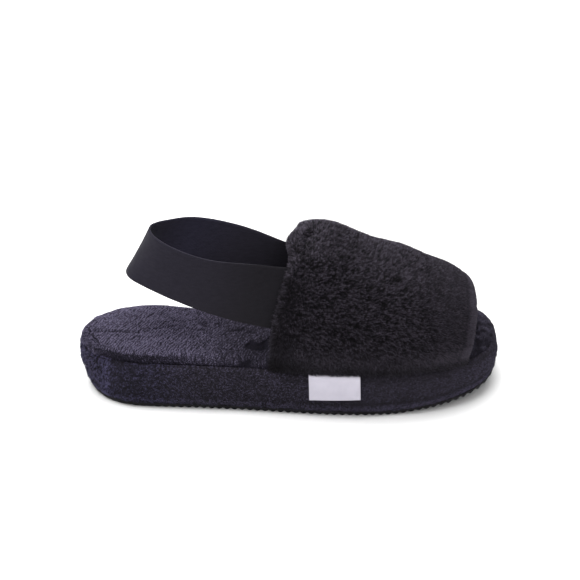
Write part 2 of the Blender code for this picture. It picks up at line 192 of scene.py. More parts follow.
def noise(p, size, seed=0):
    """Smooth value noise from -1 to 1 at the given feature size (a number or three)."""
    q = np.asarray(p, float) / np.asarray(size, float)
    i = np.floor(q).astype(np.int64)
    f = q - i
    f = f * f * f * (f * (f * 6 - 15) + 10)
    total = 0.0
    for dx in (0, 1):
        wx = f[..., 0] if dx else 1 - f[..., 0]
        for dy in (0, 1):
            wy = f[..., 1] if dy else 1 - f[..., 1]
            for dz in (0, 1):
                wz = f[..., 2] if dz else 1 - f[..., 2]
                total = total + wx * wy * wz * hashed(
                    i[..., 0] + dx, i[..., 1] + dy, i[..., 2] + dz, seed
                )
    return total


def cubic(knots, points, at, closed=False):
    """C2 cubic through points at the given knots, natural at open ends."""
    knots = np.asarray(knots, float)
    points = np.asarray(points, float)
    count = len(points)
    step = np.diff(knots)
    spans = count if closed else count - 1
    system = np.zeros((count, count))
    right = np.zeros_like(points)
    for i in range(count):
        if not closed and i in (0, count - 1):
            system[i, i] = 1.0
            continue
        before, after = step[i - 1], step[i]
        follows = (i + 1) % count
        system[i, i - 1] += before
        system[i, i] += 2.0 * (before + after)
        system[i, follows] += after
        right[i] = 6.0 * (
            (points[follows] - points[i]) / after - (points[i] - points[i - 1]) / before
        )
    bend = np.linalg.solve(system, right)
    i = np.clip(np.searchsorted(knots, at, side="right") - 1, 0, spans - 1)
    j = (i + 1) % count
    width = step[i][:, None]
    a = (knots[i + 1] - at)[:, None]
    b = (at - knots[i])[:, None]
    return (
        (bend[i] * a**3 + bend[j] * b**3) / (6.0 * width)
        + (points[i] / width - bend[i] * width / 6.0) * a
        + (points[j] / width - bend[j] * width / 6.0) * b
    )


def chord_knots(points, closed=False):
    points = np.asarray(points, float)
    ahead = np.vstack([points[1:], points[:1]]) if closed else points[1:]
    span = np.linalg.norm(ahead - points[: len(ahead)], axis=1) ** 0.75
    return np.concatenate([[0.0], np.cumsum(span)])


def evenly(path, count):
    run = np.concatenate(
        [[0.0], np.cumsum(np.linalg.norm(np.diff(path, axis=0), axis=1))]
    )
    at = np.linspace(0.0, run[-1], count)
    return np.stack([np.interp(at, run, path[:, k]) for k in range(path.shape[1])], 1)


# ================================================================ the sole's outline
def outline_halves():
    start = -SOLE_LENGTH / 2.0
    lateral = [(start + f * SOLE_LENGTH, -a) for _, f, a, _ in SOLE_SECTIONS]
    medial = [(start + f * SOLE_LENGTH, b) for _, f, _, b in SOLE_SECTIONS]
    around = [(start, HEEL_TIP_Y), *lateral, (-start, TOE_TIP_Y), *medial[::-1]]
    knots = chord_knots(around, closed=True)
    toe = knots[len(lateral) + 1]
    near = cubic(knots, around, np.linspace(0.0, toe, 900), closed=True)
    far = cubic(knots, around, np.linspace(toe, knots[-1], 900), closed=True)
    return near, far[::-1]


LATERAL_LINE, MEDIAL_LINE = outline_halves()


def half_width(x, side):
    line = LATERAL_LINE if side == "lateral" else MEDIAL_LINE
    middle = slice(20, -20)
    return np.abs(np.interp(x, line[middle, 0], line[middle, 1]))


def sole_ring(count):
    """Points of the widest outline from the heel tip along the lateral side to the toe
    tip and back, with the outward normal at each."""
    half = count // 2
    near = evenly(LATERAL_LINE, half + 1)
    far = evenly(MEDIAL_LINE, half + 1)
    ring = np.vstack([near, far[-2:0:-1]])
    along = np.roll(ring, -1, 0) - np.roll(ring, 1, 0)
    along = unit(along)
    return ring, np.stack([along[:, 1], -along[:, 0]], 1)


def ground(x):
    toe = np.clip((x - TOE_SPRING_FROM) / (SOLE_LENGTH / 2 - TOE_SPRING_FROM), 0, None)
    heel = np.clip(
        (HEEL_ROLL_FROM - x) / (SOLE_LENGTH / 2 + HEEL_ROLL_FROM), 0, None
    )
    return TOE_SPRING * toe**TOE_SPRING_BEND + HEEL_ROLL * heel**2


def tuck(x, share):
    heel = smoothstep((-SOLE_LENGTH / 2 + END_REACH - x) / END_REACH)
    toe = smoothstep((x - SOLE_LENGTH / 2 + END_REACH) / END_REACH)
    return (HEEL_TUCK * heel + TOE_TUCK * toe) * np.clip(1.0 - share, 0, 1) ** 1.6


def wall_base(x):
    return ground(x) + OUTSOLE_THICK + 0.3


def wall_profile(share):
    return np.interp(
        share, *np.array(WALL_FINE).T
    )


_shares = np.array([s for s, _ in WALL_LEVELS])
_insets = np.array([[i] for _, i in WALL_LEVELS])
_fine = np.linspace(0.0, 1.0, 101)
WALL_FINE = np.column_stack([_fine, cubic(_shares, _insets, _fine)[:, 0]])

# the frame's origin lies under the middle of the whole slipper's box
_ring88 = sole_ring(88)[0]
_mid_low = np.array(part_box("midsole")[0]) / MM
SHIFT = np.array(
    [
        np.array(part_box("label")[0])[0] / MM - LABEL_FROM_X,
        _mid_low[1] - _ring88[:, 1].min(),
        0.0,
    ]
)


# ================================================================ meshes
def mesh_object(name, points, quads=None, tris=None, uv=None, slots=None, smooth=True):
    """An object from arrays: points in millimetres, faces as index arrays, uv as one
    pair for each corner (quads first), slots as a material index for each face."""
    quads = np.zeros((0, 4), int) if quads is None else np.asarray(quads)
    tris = np.zeros((0, 3), int) if tris is None else np.asarray(tris)
    mesh = bpy.data.meshes.new(name)
    points = (np.asarray(points, float) + SHIFT) * MM
    mesh.vertices.add(len(points))
    mesh.vertices.foreach_set("co", points.astype(np.float32).ravel())
    corners = np.concatenate([quads.ravel(), tris.ravel()]).astype(np.int32)
    mesh.loops.add(len(corners))
    mesh.loops.foreach_set("vertex_index", corners)
    starts = np.concatenate(
        [np.arange(len(quads)) * 4, len(quads) * 4 + np.arange(len(tris)) * 3]
    )
    mesh.polygons.add(len(starts))
    mesh.polygons.foreach_set("loop_start", starts.astype(np.int32))
    if slots is not None:
        mesh.polygons.foreach_set("material_index", np.asarray(slots, np.int32))
    if uv is not None:
        layer = mesh.uv_layers.new(name="OFBake")
        layer.uv.foreach_set("vector", np.asarray(uv, np.float32).ravel())
    mesh.update(calc_edges=True)
    mesh.validate()
    if smooth:
        mesh.shade_smooth()
    obj = bpy.data.objects.new(name, mesh)
    bpy.context.scene.collection.objects.link(obj)
    return obj


def grid_quads(rows, columns, wrap_rows=False, wrap_columns=False, start=0):
    """Quads of a grid of rows by columns points, numbered row by row."""
    r = np.arange(rows if wrap_rows else rows - 1)
    c = np.arange(columns if wrap_columns else columns - 1)
    r, c = np.meshgrid(r, c, indexing="ij")
    r2, c2 = (r + 1) % rows, (c + 1) % columns
    quads = np.stack(
        [r * columns + c, r * columns + c2, r2 * columns + c2, r2 * columns + c], -1
    )
    return quads.reshape(-1, 4) + start


def grid_normals(grid, wrap_rows=False, wrap_columns=False):
    def slope(axis, wrap):
        if wrap:
            return np.roll(grid, -1, axis) - np.roll(grid, 1, axis)
        return np.gradient(grid, axis=axis)

    return unit(np.cross(slope(0, wrap_rows), slope(1, wrap_columns)))


def scatter(grid, normals, density, wrap_columns=False, weight=None):
    """Random spots spread evenly over a grid surface: points, normals, rows, columns."""
    if wrap_columns:
        grid = np.concatenate([grid, grid[:, :1]], 1)
        normals = np.concatenate([normals, normals[:, :1]], 1)
    a, b, c, d = grid[:-1, :-1], grid[:-1, 1:], grid[1:, 1:], grid[1:, :-1]
    area = np.linalg.norm(np.cross(c - a, d - b), axis=-1) / 2
    want = area * density * SPARSE
    if weight is not None:
        want = want * weight
    many = np.floor(want + RNG.random(area.shape)).astype(int)
    i, j = np.nonzero(many)
    i, j = np.repeat(i, many[i, j]), np.repeat(j, many[i, j])
    u, v = RNG.random(len(i)), RNG.random(len(i))

    def mix(field):
        return (
            field[i, j] * ((1 - u) * (1 - v))[:, None]
            + field[i, j + 1] * ((1 - u) * v)[:, None]
            + field[i + 1, j + 1] * (u * v)[:, None]
            + field[i + 1, j] * (u * (1 - v))[:, None]
        )

    return mix(grid), unit(mix(normals)), i + u, j + v


def hairs(name, root, tip, side, width, shade, low=0.05, high=0.97, hue=None):
    """Lying hairs as one mesh, a triangle each. The map's second coordinate runs from
    root to tip and its first is each hair's shade."""
    n = len(root)
    half = (np.broadcast_to(np.asarray(width, float), (n,)) * 0.5)[:, None]
    points = np.stack([root - side * half, root + side * half, tip], 1)
    return mesh_object(
        name,
        points.reshape(-1, 3),
        tris=np.arange(n * 3).reshape(n, 3),
        uv=hair_map(shade, 1, low, high, hue),
    )


def hair_map(shade, faces, low=0.05, high=0.97, hue=None):
    """Map corners of hairs, each with so many like triangles. Where hairs have two hues,
    hue says which half of the shade axis each is in."""
    u, wide = np.clip(shade, 0.0, 1.0) * 0.96 + 0.01, 0.02
    if hue is not None:
        u, wide = u * 0.48 + 0.5 * hue, 0.0096
    low, high = (np.broadcast_to(np.asarray(v, float), u.shape) for v in (low, high))
    corner = [np.stack([u, low], -1), np.stack([u + wide, low], -1), np.stack([u + wide / 2, high], -1)]
    return np.repeat(np.stack(corner, 1)[:, None], faces, axis=1).reshape(-1, 2)


def spikes(name, root, tip, side, width, shade):
    """Standing hairs as one mesh: three-sided spikes, open at the root."""
    n = len(root)
    half = (np.broadcast_to(np.asarray(width, float), (n,)) * 0.5)[:, None]
    up = unit(tip - root)
    one = unit(side - up * (side * up).sum(1)[:, None])
    two = np.cross(up, one)
    ring = [root + half * (one * math.cos(k) + two * math.sin(k)) for k in (0.0, 2 * math.pi / 3, 4 * math.pi / 3)]
    points = np.stack([*ring, tip], 1)
    first = np.arange(n)[:, None] * 4
    tris = np.stack([first + [[0, 1, 3]], first + [[1, 2, 3]], first + [[2, 0, 3]]], 1).reshape(-1, 3)
    return mesh_object(name, points.reshape(-1, 3), tris=tris, uv=hair_map(shade, 3))


def flat(a, b):
    return np.stack([a, b, np.zeros_like(a)], -1)


# ================================================================ materials
def new_material(name, colour, roughness, **sockets):
    material = bpy.data.materials.new(name)
    material.use_nodes = True
    shader = material.node_tree.nodes["Principled BSDF"]
    shader.inputs["Base Color"].default_value = (*colour, 1.0)
    shader.inputs["Roughness"].default_value = roughness
    for key, value in sockets.items():
        shader.inputs[key.replace("_", " ")].default_value = value
    return material


class Nodes:
    """Short calls for building a material's nodes."""

    def __init__(self, material):
        self.tree = material.node_tree
        self.shader = self.tree.nodes["Principled BSDF"]

    def add(self, kind, **values):
        node = self.tree.nodes.new(kind)
        for key, value in values.items():
            if hasattr(node, key):
                setattr(node, key, value)
            else:
                node.inputs[key.replace("_", " ")].default_value = value
        return node

    def link(self, a, b):
        self.tree.links.new(a, b)

    def ramp(self, source, stops):
        node = self.add("ShaderNodeValToRGB")
        ramp = node.color_ramp
        while len(ramp.elements) < len(stops):
            ramp.elements.new(0.5)
        for element, (at, colour) in zip(ramp.elements, stops):
            element.position = at
            element.color = (*colour, 1.0)
        self.link(source, node.inputs["Fac"])
        return node.outputs["Color"]

    def math(self, operation, a, b):
        node = self.add("ShaderNodeMath", operation=operation)
        for socket, value in zip(node.inputs, (a, b)):
            if isinstance(value, (int, float)):
                socket.default_value = value
            else:
                self.link(value, socket)
        return node.outputs["Value"]

    def noise(self, vector, scale, detail=2.0, roughness=0.5):
        node = self.add(
            "ShaderNodeTexNoise", Scale=scale, Detail=detail, Roughness=roughness
        )
        if vector is not None:
            self.link(vector, node.inputs["Vector"])
        return node.outputs["Fac"]

    def scaled(self, vector, scale):
        node = self.add("ShaderNodeMapping")
        node.inputs["Scale"].default_value = scale
        self.link(vector, node.inputs["Vector"])
        return node.outputs["Vector"]

    def bump(self, height, strength, distance):
        node = self.add("ShaderNodeBump", Strength=strength, Distance=distance)
        self.link(height, node.inputs["Height"])
        self.link(node.outputs["Normal"], self.shader.inputs["Normal"])

    def object_space(self):
        return self.add("ShaderNodeTexCoord").outputs["Object"]


def scale_colour(colour, factor):
    return tuple(c * factor for c in colour)


def hair_material(name, dark, light, roughness, brightest=(2.4, 2.38, 2.38), second=None, **sockets):
    """Hairs: darker at the root as painted shade down in the pile, with each hair's own shade. second is the other
    hue, as factors of the first."""
    material = new_material(name, light, roughness, **sockets)
    n = Nodes(material)
    uv = n.add("ShaderNodeUVMap", uv_map="OFBake").outputs["UV"]
    split = n.add("ShaderNodeSeparateXYZ")
    n.link(uv, split.inputs[0])
    # painted shade: the root end darker than the tip
    along = n.ramp(
        split.outputs["Y"],
        [(0.0, scale_colour(dark, 0.45)), (0.45, dark), (1.0, light)],
    )
    stops = [(0.0, (0.12, 0.12, 0.12)), (0.5, (0.80, 0.80, 0.80)), (1.0, brightest)]
    if second is not None:
        stops = [
            (at * 0.48 + start, tuple(c * f for c, f in zip(colour, hue)))
            for start, hue in ((0.0, (1.0, 1.0, 1.0)), (0.5, second))
            for at, colour in stops
        ]
    shade = n.ramp(split.outputs["X"], stops)
    mix = n.add("ShaderNodeMix", data_type="RGBA", blend_type="MULTIPLY")
    mix.inputs["Factor"].default_value = 1.0
    n.link(along, mix.inputs["A"])
    n.link(shade, mix.inputs["B"])
    n.link(mix.outputs["Result"], n.shader.inputs["Base Color"])
    return material


def fleece_material(name, dark, light, nap):
    """The cloth under the nap: mottled, with a fine brushed bump."""
    material = new_material(name, light, 0.95)
    material.node_tree.nodes["Principled BSDF"].inputs[
        "Specular IOR Level"
    ].default_value = 0.05
    n = Nodes(material)
    space = n.object_space()
    fine = n.noise(n.scaled(space, nap), 1.0, 3.0, 0.6)
    broad = n.noise(space, 60.0, 2.0)
    mixed = n.math("ADD", n.math("MULTIPLY", fine, 0.7), n.math("MULTIPLY", broad, 0.3))
    colour = n.ramp(mixed, [(0.32, dark), (0.68, light)])
    n.link(colour, n.shader.inputs["Base Color"])
    n.bump(fine, 0.5, 0.0006)
    return material


FLEECE = (0.0390, 0.0348, 0.0547)
WRAP = (0.0332, 0.0296, 0.0398)
PILE = (0.0338, 0.0296, 0.0394)

# the cloths under the footbed's and the wrap's nap are kept several times darker than the hairs: painted shade in
# the gaps between them
m_footbed = fleece_material(
    "footbed_cloth", scale_colour(FLEECE, 0.16), scale_colour(FLEECE, 0.34), (900, 260, 500)
)
m_wrap = fleece_material(
    "wrap_cloth", scale_colour(WRAP, 0.25), scale_colour(WRAP, 0.5), (280, 280, 800)
)
m_footbed_nap = hair_material(
    "footbed_nap", scale_colour(FLEECE, 1.0), scale_colour(FLEECE, 2.0), 0.85,
    second=(1.03, 1.03, 0.96), Specular_IOR_Level=0.06,
)
m_wrap_nap = hair_material(
    "wrap_nap", scale_colour(WRAP, 0.75), scale_colour(WRAP, 1.5), 0.85, (2.36, 2.36, 2.85),
    second=(1.03, 1.06, 1.25), Specular_IOR_Level=0.06,
)
m_pile = hair_material(
    "pile_hair", scale_colour(PILE, 0.5), scale_colour(PILE, 1.3), 0.7,
    Specular_IOR_Level=0.1,
)
# the pile's backing is kept much darker than its hairs: painted shade in the gaps between them
m_backing = fleece_material(
    "pile_backing", scale_colour(PILE, 0.18), scale_colour(PILE, 0.4), (500, 500, 500)
)
m_lining = fleece_material(
    "vamp_lining", scale_colour(FLEECE, 0.35), scale_colour(FLEECE, 0.7), (420, 420, 420)
)


def rubber_material():
    material = new_material("sole_black_rubber", (0.006, 0.0056, 0.0064), 0.6, Specular_IOR_Level=0.12)
    n = Nodes(material)
    space = n.object_space()
    grain = n.noise(space, 1400.0, 3.0, 0.6)
    dust = n.noise(space, 90.0, 4.0, 0.65)
    colour = n.ramp(
        dust, [(0.3, (0.004, 0.0038, 0.0044)), (0.75, (0.010, 0.0094, 0.011))]
    )
    n.link(colour, n.shader.inputs["Base Color"])
    rough = n.ramp(grain, [(0.2, (0.5, 0.5, 0.5)), (0.8, (0.78, 0.78, 0.78))])
    n.link(rough, n.shader.inputs["Roughness"])
    n.bump(grain, 0.25, 0.0004)
    return material


def elastic_material():
    """Woven elastic: fine ribs across the band, finer yarns along it."""
    material = new_material("black_elastic", (0.017, 0.0155, 0.022), 0.82)
    material.node_tree.nodes["Principled BSDF"].inputs[
        "Specular IOR Level"
    ].default_value = 0.08
    material.node_tree.nodes["Principled BSDF"].inputs["Sheen Weight"].default_value = 0.03
    material.node_tree.nodes["Principled BSDF"].inputs["Sheen Roughness"].default_value = 0.4
    n = Nodes(material)
    uv = n.add("ShaderNodeUVMap", uv_map="OFBake").outputs["UV"]
    split = n.add("ShaderNodeSeparateXYZ")
    n.link(uv, split.inputs[0])
    length_mm, width_mm = 280.0, STRAP_WIDTH
    # outer face: painted shade towards both sewn ends, where the elastic runs in under the pile, lighter and bluer
    # in the middle
    outside = n.ramp(
        split.outputs["X"],
        [
            (0.05, (0.24, 0.24, 0.23)), (0.09, (0.42, 0.42, 0.41)), (0.15, (0.50, 0.495, 0.485)),
            (0.27, (0.68, 0.67, 0.74)), (0.42, (0.715, 0.706, 0.85)), (0.58, (0.715, 0.706, 0.85)),
            (0.73, (0.68, 0.67, 0.74)), (0.85, (0.50, 0.495, 0.485)), (0.91, (0.42, 0.42, 0.41)),
            (0.95, (0.24, 0.24, 0.23)),
        ],
    )
    # inner face: painted light, lighter and bluer than the outer face, with painted shade at both sewn ends
    inside = n.ramp(
        split.outputs["X"],
        [
            (0.04, (0.4, 0.4, 0.4)), (0.18, (1.0, 1.0, 1.05)), (0.34, (1.4, 1.42, 1.68)), (0.5, (1.4, 1.4, 1.6)),
            (0.66, (1.55, 1.58, 1.98)), (0.78, (1.22, 1.22, 1.34)), (0.87, (0.9, 0.9, 0.95)), (0.93, (0.35, 0.35, 0.37)),
        ],
    )
    face = n.add("ShaderNodeMix", data_type="RGBA")
    n.link(n.math("GREATER_THAN", split.outputs["Y"], 0.25), face.inputs["Factor"])
    n.link(outside, face.inputs["A"])
    n.link(inside, face.inputs["B"])
    ribs = n.math(
        "SINE", n.math("MULTIPLY", split.outputs["X"], length_mm / 0.95 * 2 * math.pi), 0
    )
    yarns = n.math(
        "SINE", n.math("MULTIPLY", split.outputs["Y"], width_mm * 4 / 0.8 * 2 * math.pi), 0
    )
    weave = n.math("ADD", n.math("MULTIPLY", ribs, 0.6), n.math("MULTIPLY", yarns, 0.4))
    slub = n.noise(n.scaled(n.object_space(), (260, 260, 900)), 1.0, 3.0, 0.6)
    height = n.math("ADD", n.math("MULTIPLY", weave, 0.35), n.math("MULTIPLY", slub, 0.8))
    tone = n.math("ADD", n.math("MULTIPLY", weave, 0.06), slub)
    colour = n.ramp(
        tone, [(0.25, (0.0145, 0.0131, 0.0178)), (0.75, (0.0200, 0.0182, 0.0243))]
    )
    # the painted light of the two faces multiplies the yarn colour
    painted_light_mix = n.add("ShaderNodeMix", data_type="RGBA", blend_type="MULTIPLY")
    painted_light_mix.inputs["Factor"].default_value = 1.0
    n.link(colour, painted_light_mix.inputs["A"])
    n.link(face.outputs["Result"], painted_light_mix.inputs["B"])
    n.link(painted_light_mix.outputs["Result"], n.shader.inputs["Base Color"])
    n.bump(height, 0.35, 0.0003)
    return material


def tape_material():
    """White woven tape: a fine satin weave with faint yarn shade."""
    material = new_material("white_tape", (0.66, 0.64, 0.71), 0.62)
    n = Nodes(material)
    uv = n.add("ShaderNodeUVMap", uv_map="OFBake").outputs["UV"]
    split = n.add("ShaderNodeSeparateXYZ")
    n.link(uv, split.inputs[0])
    warp = n.math("SINE", n.math("MULTIPLY", split.outputs["X"], 64 / 0.42 * 2 * math.pi), 0)
    weft = n.math("SINE", n.math("MULTIPLY", split.outputs["Y"], 36 / 0.36 * 2 * math.pi), 0)
    weave = n.math("MULTIPLY", warp, weft)
    cloud = n.noise(n.object_space(), 150.0, 3.0, 0.6)
    tone = n.math("ADD", n.math("MULTIPLY", weave, 0.10), cloud)
    colour = n.ramp(tone, [(0.2, (0.404, 0.386, 0.450)), (0.8, (0.471, 0.450, 0.516))])
    n.link(colour, n.shader.inputs["Base Color"])
    n.bump(weave, 0.3, 0.00015)
    return material


m_rubber, m_elastic, m_tape = rubber_material(), elastic_material(), tape_material()


def settle(obj, slot, *materials, node=None):
    for material in materials:
        obj.data.materials.append(material)
    if node:
        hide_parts(node)
    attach(obj, "root")
    return obj


# ================================================================ outsole
RIPPLE_PITCH, RIPPLE_DEPTH = 4.7, 0.95


def ripple(x):
    """Rounded ribs across the tread: 0 on a rib, up to RIPPLE_DEPTH in a groove."""
    wave = 0.5 - 0.5 * np.cos(2 * np.pi * x / RIPPLE_PITCH)
    return RIPPLE_DEPTH * wave**1.4 * (0.15 + 0.85 * smoothstep((x + 92.0) / 45.0) + 0.35 * smoothstep((x - 70.0) / 30.0))


def make_outsole():
    count = 960
    ring, outward = sole_ring(count)
    x = ring[:, 0]
    lower = tuck(x, 0.0)
    levels = (
        # share of thickness, inset, how much of the ripple shows
        (0.0, 5.2, 1.0),
        (0.02, 4.5, 1.0),
        (0.14, 3.9, 1.0),
        (0.34, 3.6, 0.55),
        (0.6, 3.4, 0.12),
        (0.85, 3.3, 0.0),
        (1.0, 3.5, 0.0),
        (1.02, 6.0, 0.0),
    )
    rings = []
    for share, inset, shows in levels:
        at = ring - outward * (inset + lower - 0.9 * smoothstep((x - 72.0) / 30.0))[:, None]
        z = ground(at[:, 0]) + share * OUTSOLE_THICK + shows * ripple(at[:, 0])
        wobble = 0.12 * noise(np.column_stack([at, z]), 3.0, 5)
        at = at + outward * wobble[:, None] * (0 < share < 1)
        rings.append(np.column_stack([at, z]))
    points = [np.concatenate(rings)]
    quads = [grid_quads(len(levels), count, wrap_columns=True)]
    # tread: rungs across from each lateral point to its medial partner
    half = count // 2
    columns = 9
    share = np.linspace(0, 1, columns)[None, 1:-1, None]
    left = rings[0][1:half]
    right = rings[0][-1 : half : -1]
    inner = left[:, None, :] + (right - left)[:, None, :] * share
    inner[..., 2] = ground(inner[..., 0]) + ripple(inner[..., 0])
    base = sum(len(p) for p in points)
    ids = np.empty((half + 1, columns), int)
    ids[:, 0] = np.arange(half + 1)
    ids[:, -1] = -np.arange(half + 1) % count
    ids[1:half, 1:-1] = base + np.arange(inner.shape[0] * inner.shape[1]).reshape(
        inner.shape[:2]
    )
    ids[0, :] = 0
    ids[half, :] = half
    points.append(inner.reshape(-1, 3))
    body = np.stack([ids[:-1, :-1], ids[1:, :-1], ids[1:, 1:], ids[:-1, 1:]], -1)
    tris = [body[0][:, [0, 1, 2]], body[-1][:, [0, 1, 3]]]
    quads.append(body[1:-1].reshape(-1, 4))
    # plain top, hidden under the platform
    top = (len(levels) - 1) * count
    a = top + np.arange(half)
    b = top + np.arange(1, half + 1)
    c = top + (-np.arange(1, half + 1)) % count
    d = top + (-np.arange(half)) % count
    quads.append(np.stack([a, d, c, b], -1)[1:-1])
    tris.append(np.array([[a[0], c[0], b[0]], [a[-1], d[-1], b[-1]]]))
    return mesh_object(
        "outsole_ripple", np.concatenate(points), np.concatenate(quads), np.concatenate(tris)
    )


settle(make_outsole(), "sole_rubber", m_rubber, node="outsole")


# ================================================================ wrapped platform
def wrap_dashes(a, x, z):
    """Brushed tufts of the wrap, from -1 to 1: short wavy dashes along the wall, upright
    ones at the heel's corner, fainter towards the toe. a is the run along the wall."""
    wave = z + 0.7 * noise(flat(a, z), (4.5, 3.5, 1.0), 12)
    lying = 0.8 * noise(flat(a, wave), (1.05, 0.66, 1.0), 13) + 0.9 * noise(flat(a, wave), (0.72, 0.5, 1.0), 14)
    lean = a + 0.8 * noise(flat(a, z), (5.0, 5.0, 1.0), 15)
    upright = 0.9 * noise(flat(lean, z), (0.8, 1.3, 1.0), 16) + 0.8 * noise(flat(lean, z), (0.55, 0.85, 1.0), 17)
    heel = smoothstep((-98.0 - x) / 14.0)
    faint = 0.95 + 0.5 * heel - 0.66 * smoothstep((x + 20.0) / 70.0)
    return (lying * (1 - heel) + upright * heel) * faint


def wrap_surface(ring, outward, run, share):
    """Points of the wrapped wall at ring points and wall shares, and the tufts there."""
    x = ring[..., 0]
    profile = wall_profile(share)
    # at both ends the wall runs straight up to the footbed
    back, toe = smoothstep((-108.0 - x) / 12.0), smoothstep((x - 98.0) / 14.0)
    straight = np.where(share > 0.7, np.minimum(profile, 1.6 * back + 2.7 * (1 - back)), profile)
    ends = np.maximum(back, toe)
    profile = profile * (1 - ends) + straight * ends
    inset = profile + tuck(x, share) + 0.35 + 1.0 * smoothstep((-112.0 - x) / 16.0)
    at = ring - outward * inset[..., None]
    base = wall_base(at[..., 0])
    z = base + share * (PLATFORM_TOP - base)
    p = np.concatenate([at, z[..., None]], -1)
    # swell where the wrap is turned over the foam's lower edge
    push = 0.55 * np.exp(-(((share - 0.075) / 0.055) ** 2))
    push = push - 0.30 * np.exp(-(((share - 0.19) / 0.055) ** 2))
    push = push + 0.40 * noise(p, (16.0, 16.0, 9.0), 11)
    dash = wrap_dashes(run, x, z)
    push = push + 0.14 * dash + 0.45 * noise(p, (3.6, 3.6, 3.0), 19) * np.maximum(smoothstep((-112.0 - x) / 12.0), 1.2 * smoothstep((x - 108.0) / 10.0))
    side = np.where(ring[..., 1] < 0, -1, 1)
    for _, fx, fs, wide, deep, lean in WRAP_FOLDS:
        away = (at[..., 0] - fx - lean * (share - 0.5)) / wide
        ends = smoothstep(share / 0.2) * smoothstep((1.02 - share) / 0.2)
        push = push - deep * np.exp(-(away**2)) * ends * (side == fs)
    fade = smoothstep((1.0 - share) / 0.04)
    p[..., :2] += outward * (push * (0.25 + 0.75 * fade))[..., None]
    return p, dash


WRAP_COUNT = 820
_wrap_ring, _wrap_out = sole_ring(WRAP_COUNT)
_wrap_run = np.concatenate(
    [[0.0], np.cumsum(np.linalg.norm(np.diff(_wrap_ring, axis=0), axis=1))]
)
WRAP_SHARES = np.concatenate(
    [np.linspace(0.0, 0.2, 10), np.linspace(0.2, 0.85, 19)[1:], np.linspace(0.85, 1.0, 8)[1:]]
)
WRAP_GRID, WRAP_DASH = (
    np.array(part)
    for part in zip(
        *(
            wrap_surface(_wrap_ring, _wrap_out, _wrap_run, np.full(WRAP_COUNT, s))
            for s in WRAP_SHARES
        )
    )
)


# the wrap's upper edge, turned in under the footbed
WRAP_LIP = np.column_stack([_wrap_ring - _wrap_out * 4.4, np.full(WRAP_COUNT, PLATFORM_TOP - 0.5)])


def make_wrap():
    count = WRAP_COUNT
    ring, outward = _wrap_ring, _wrap_out
    x = ring[:, 0]
    under = ring - outward * (6.0 + tuck(x, 0.0))[:, None]
    bottom = np.column_stack([under, wall_base(under[:, 0]) + 0.1])
    floor = ring - outward * 6.5
    inner = np.column_stack([floor, np.full(count, PLATFORM_TOP - 0.9)])
    rows = [bottom, *WRAP_GRID, WRAP_LIP, inner]
    points = np.concatenate(rows)
    quads = [grid_quads(len(rows), count, wrap_columns=True)]
    tris = []
    half = count // 2
    for start, flip in ((0, False), ((len(rows) - 1) * count, True)):
        a = start + np.arange(half)
        b = start + np.arange(1, half + 1)
        c = start + (-np.arange(1, half + 1)) % count
        d = start + (-np.arange(half)) % count
        cap = np.stack([a, b, c, d], -1)
        ends = np.array([[a[0], b[0], c[0]], [a[-1], b[-1], d[-1]]])
        if flip:
            cap, ends = cap[:, ::-1], ends[:, ::-1]
        quads.append(cap[1:-1])
        tris.append(ends)
    return mesh_object("wrap_fleece", points, np.concatenate(quads), np.concatenate(tris))


settle(make_wrap(), "wrap_fleece", m_wrap, node="midsole")


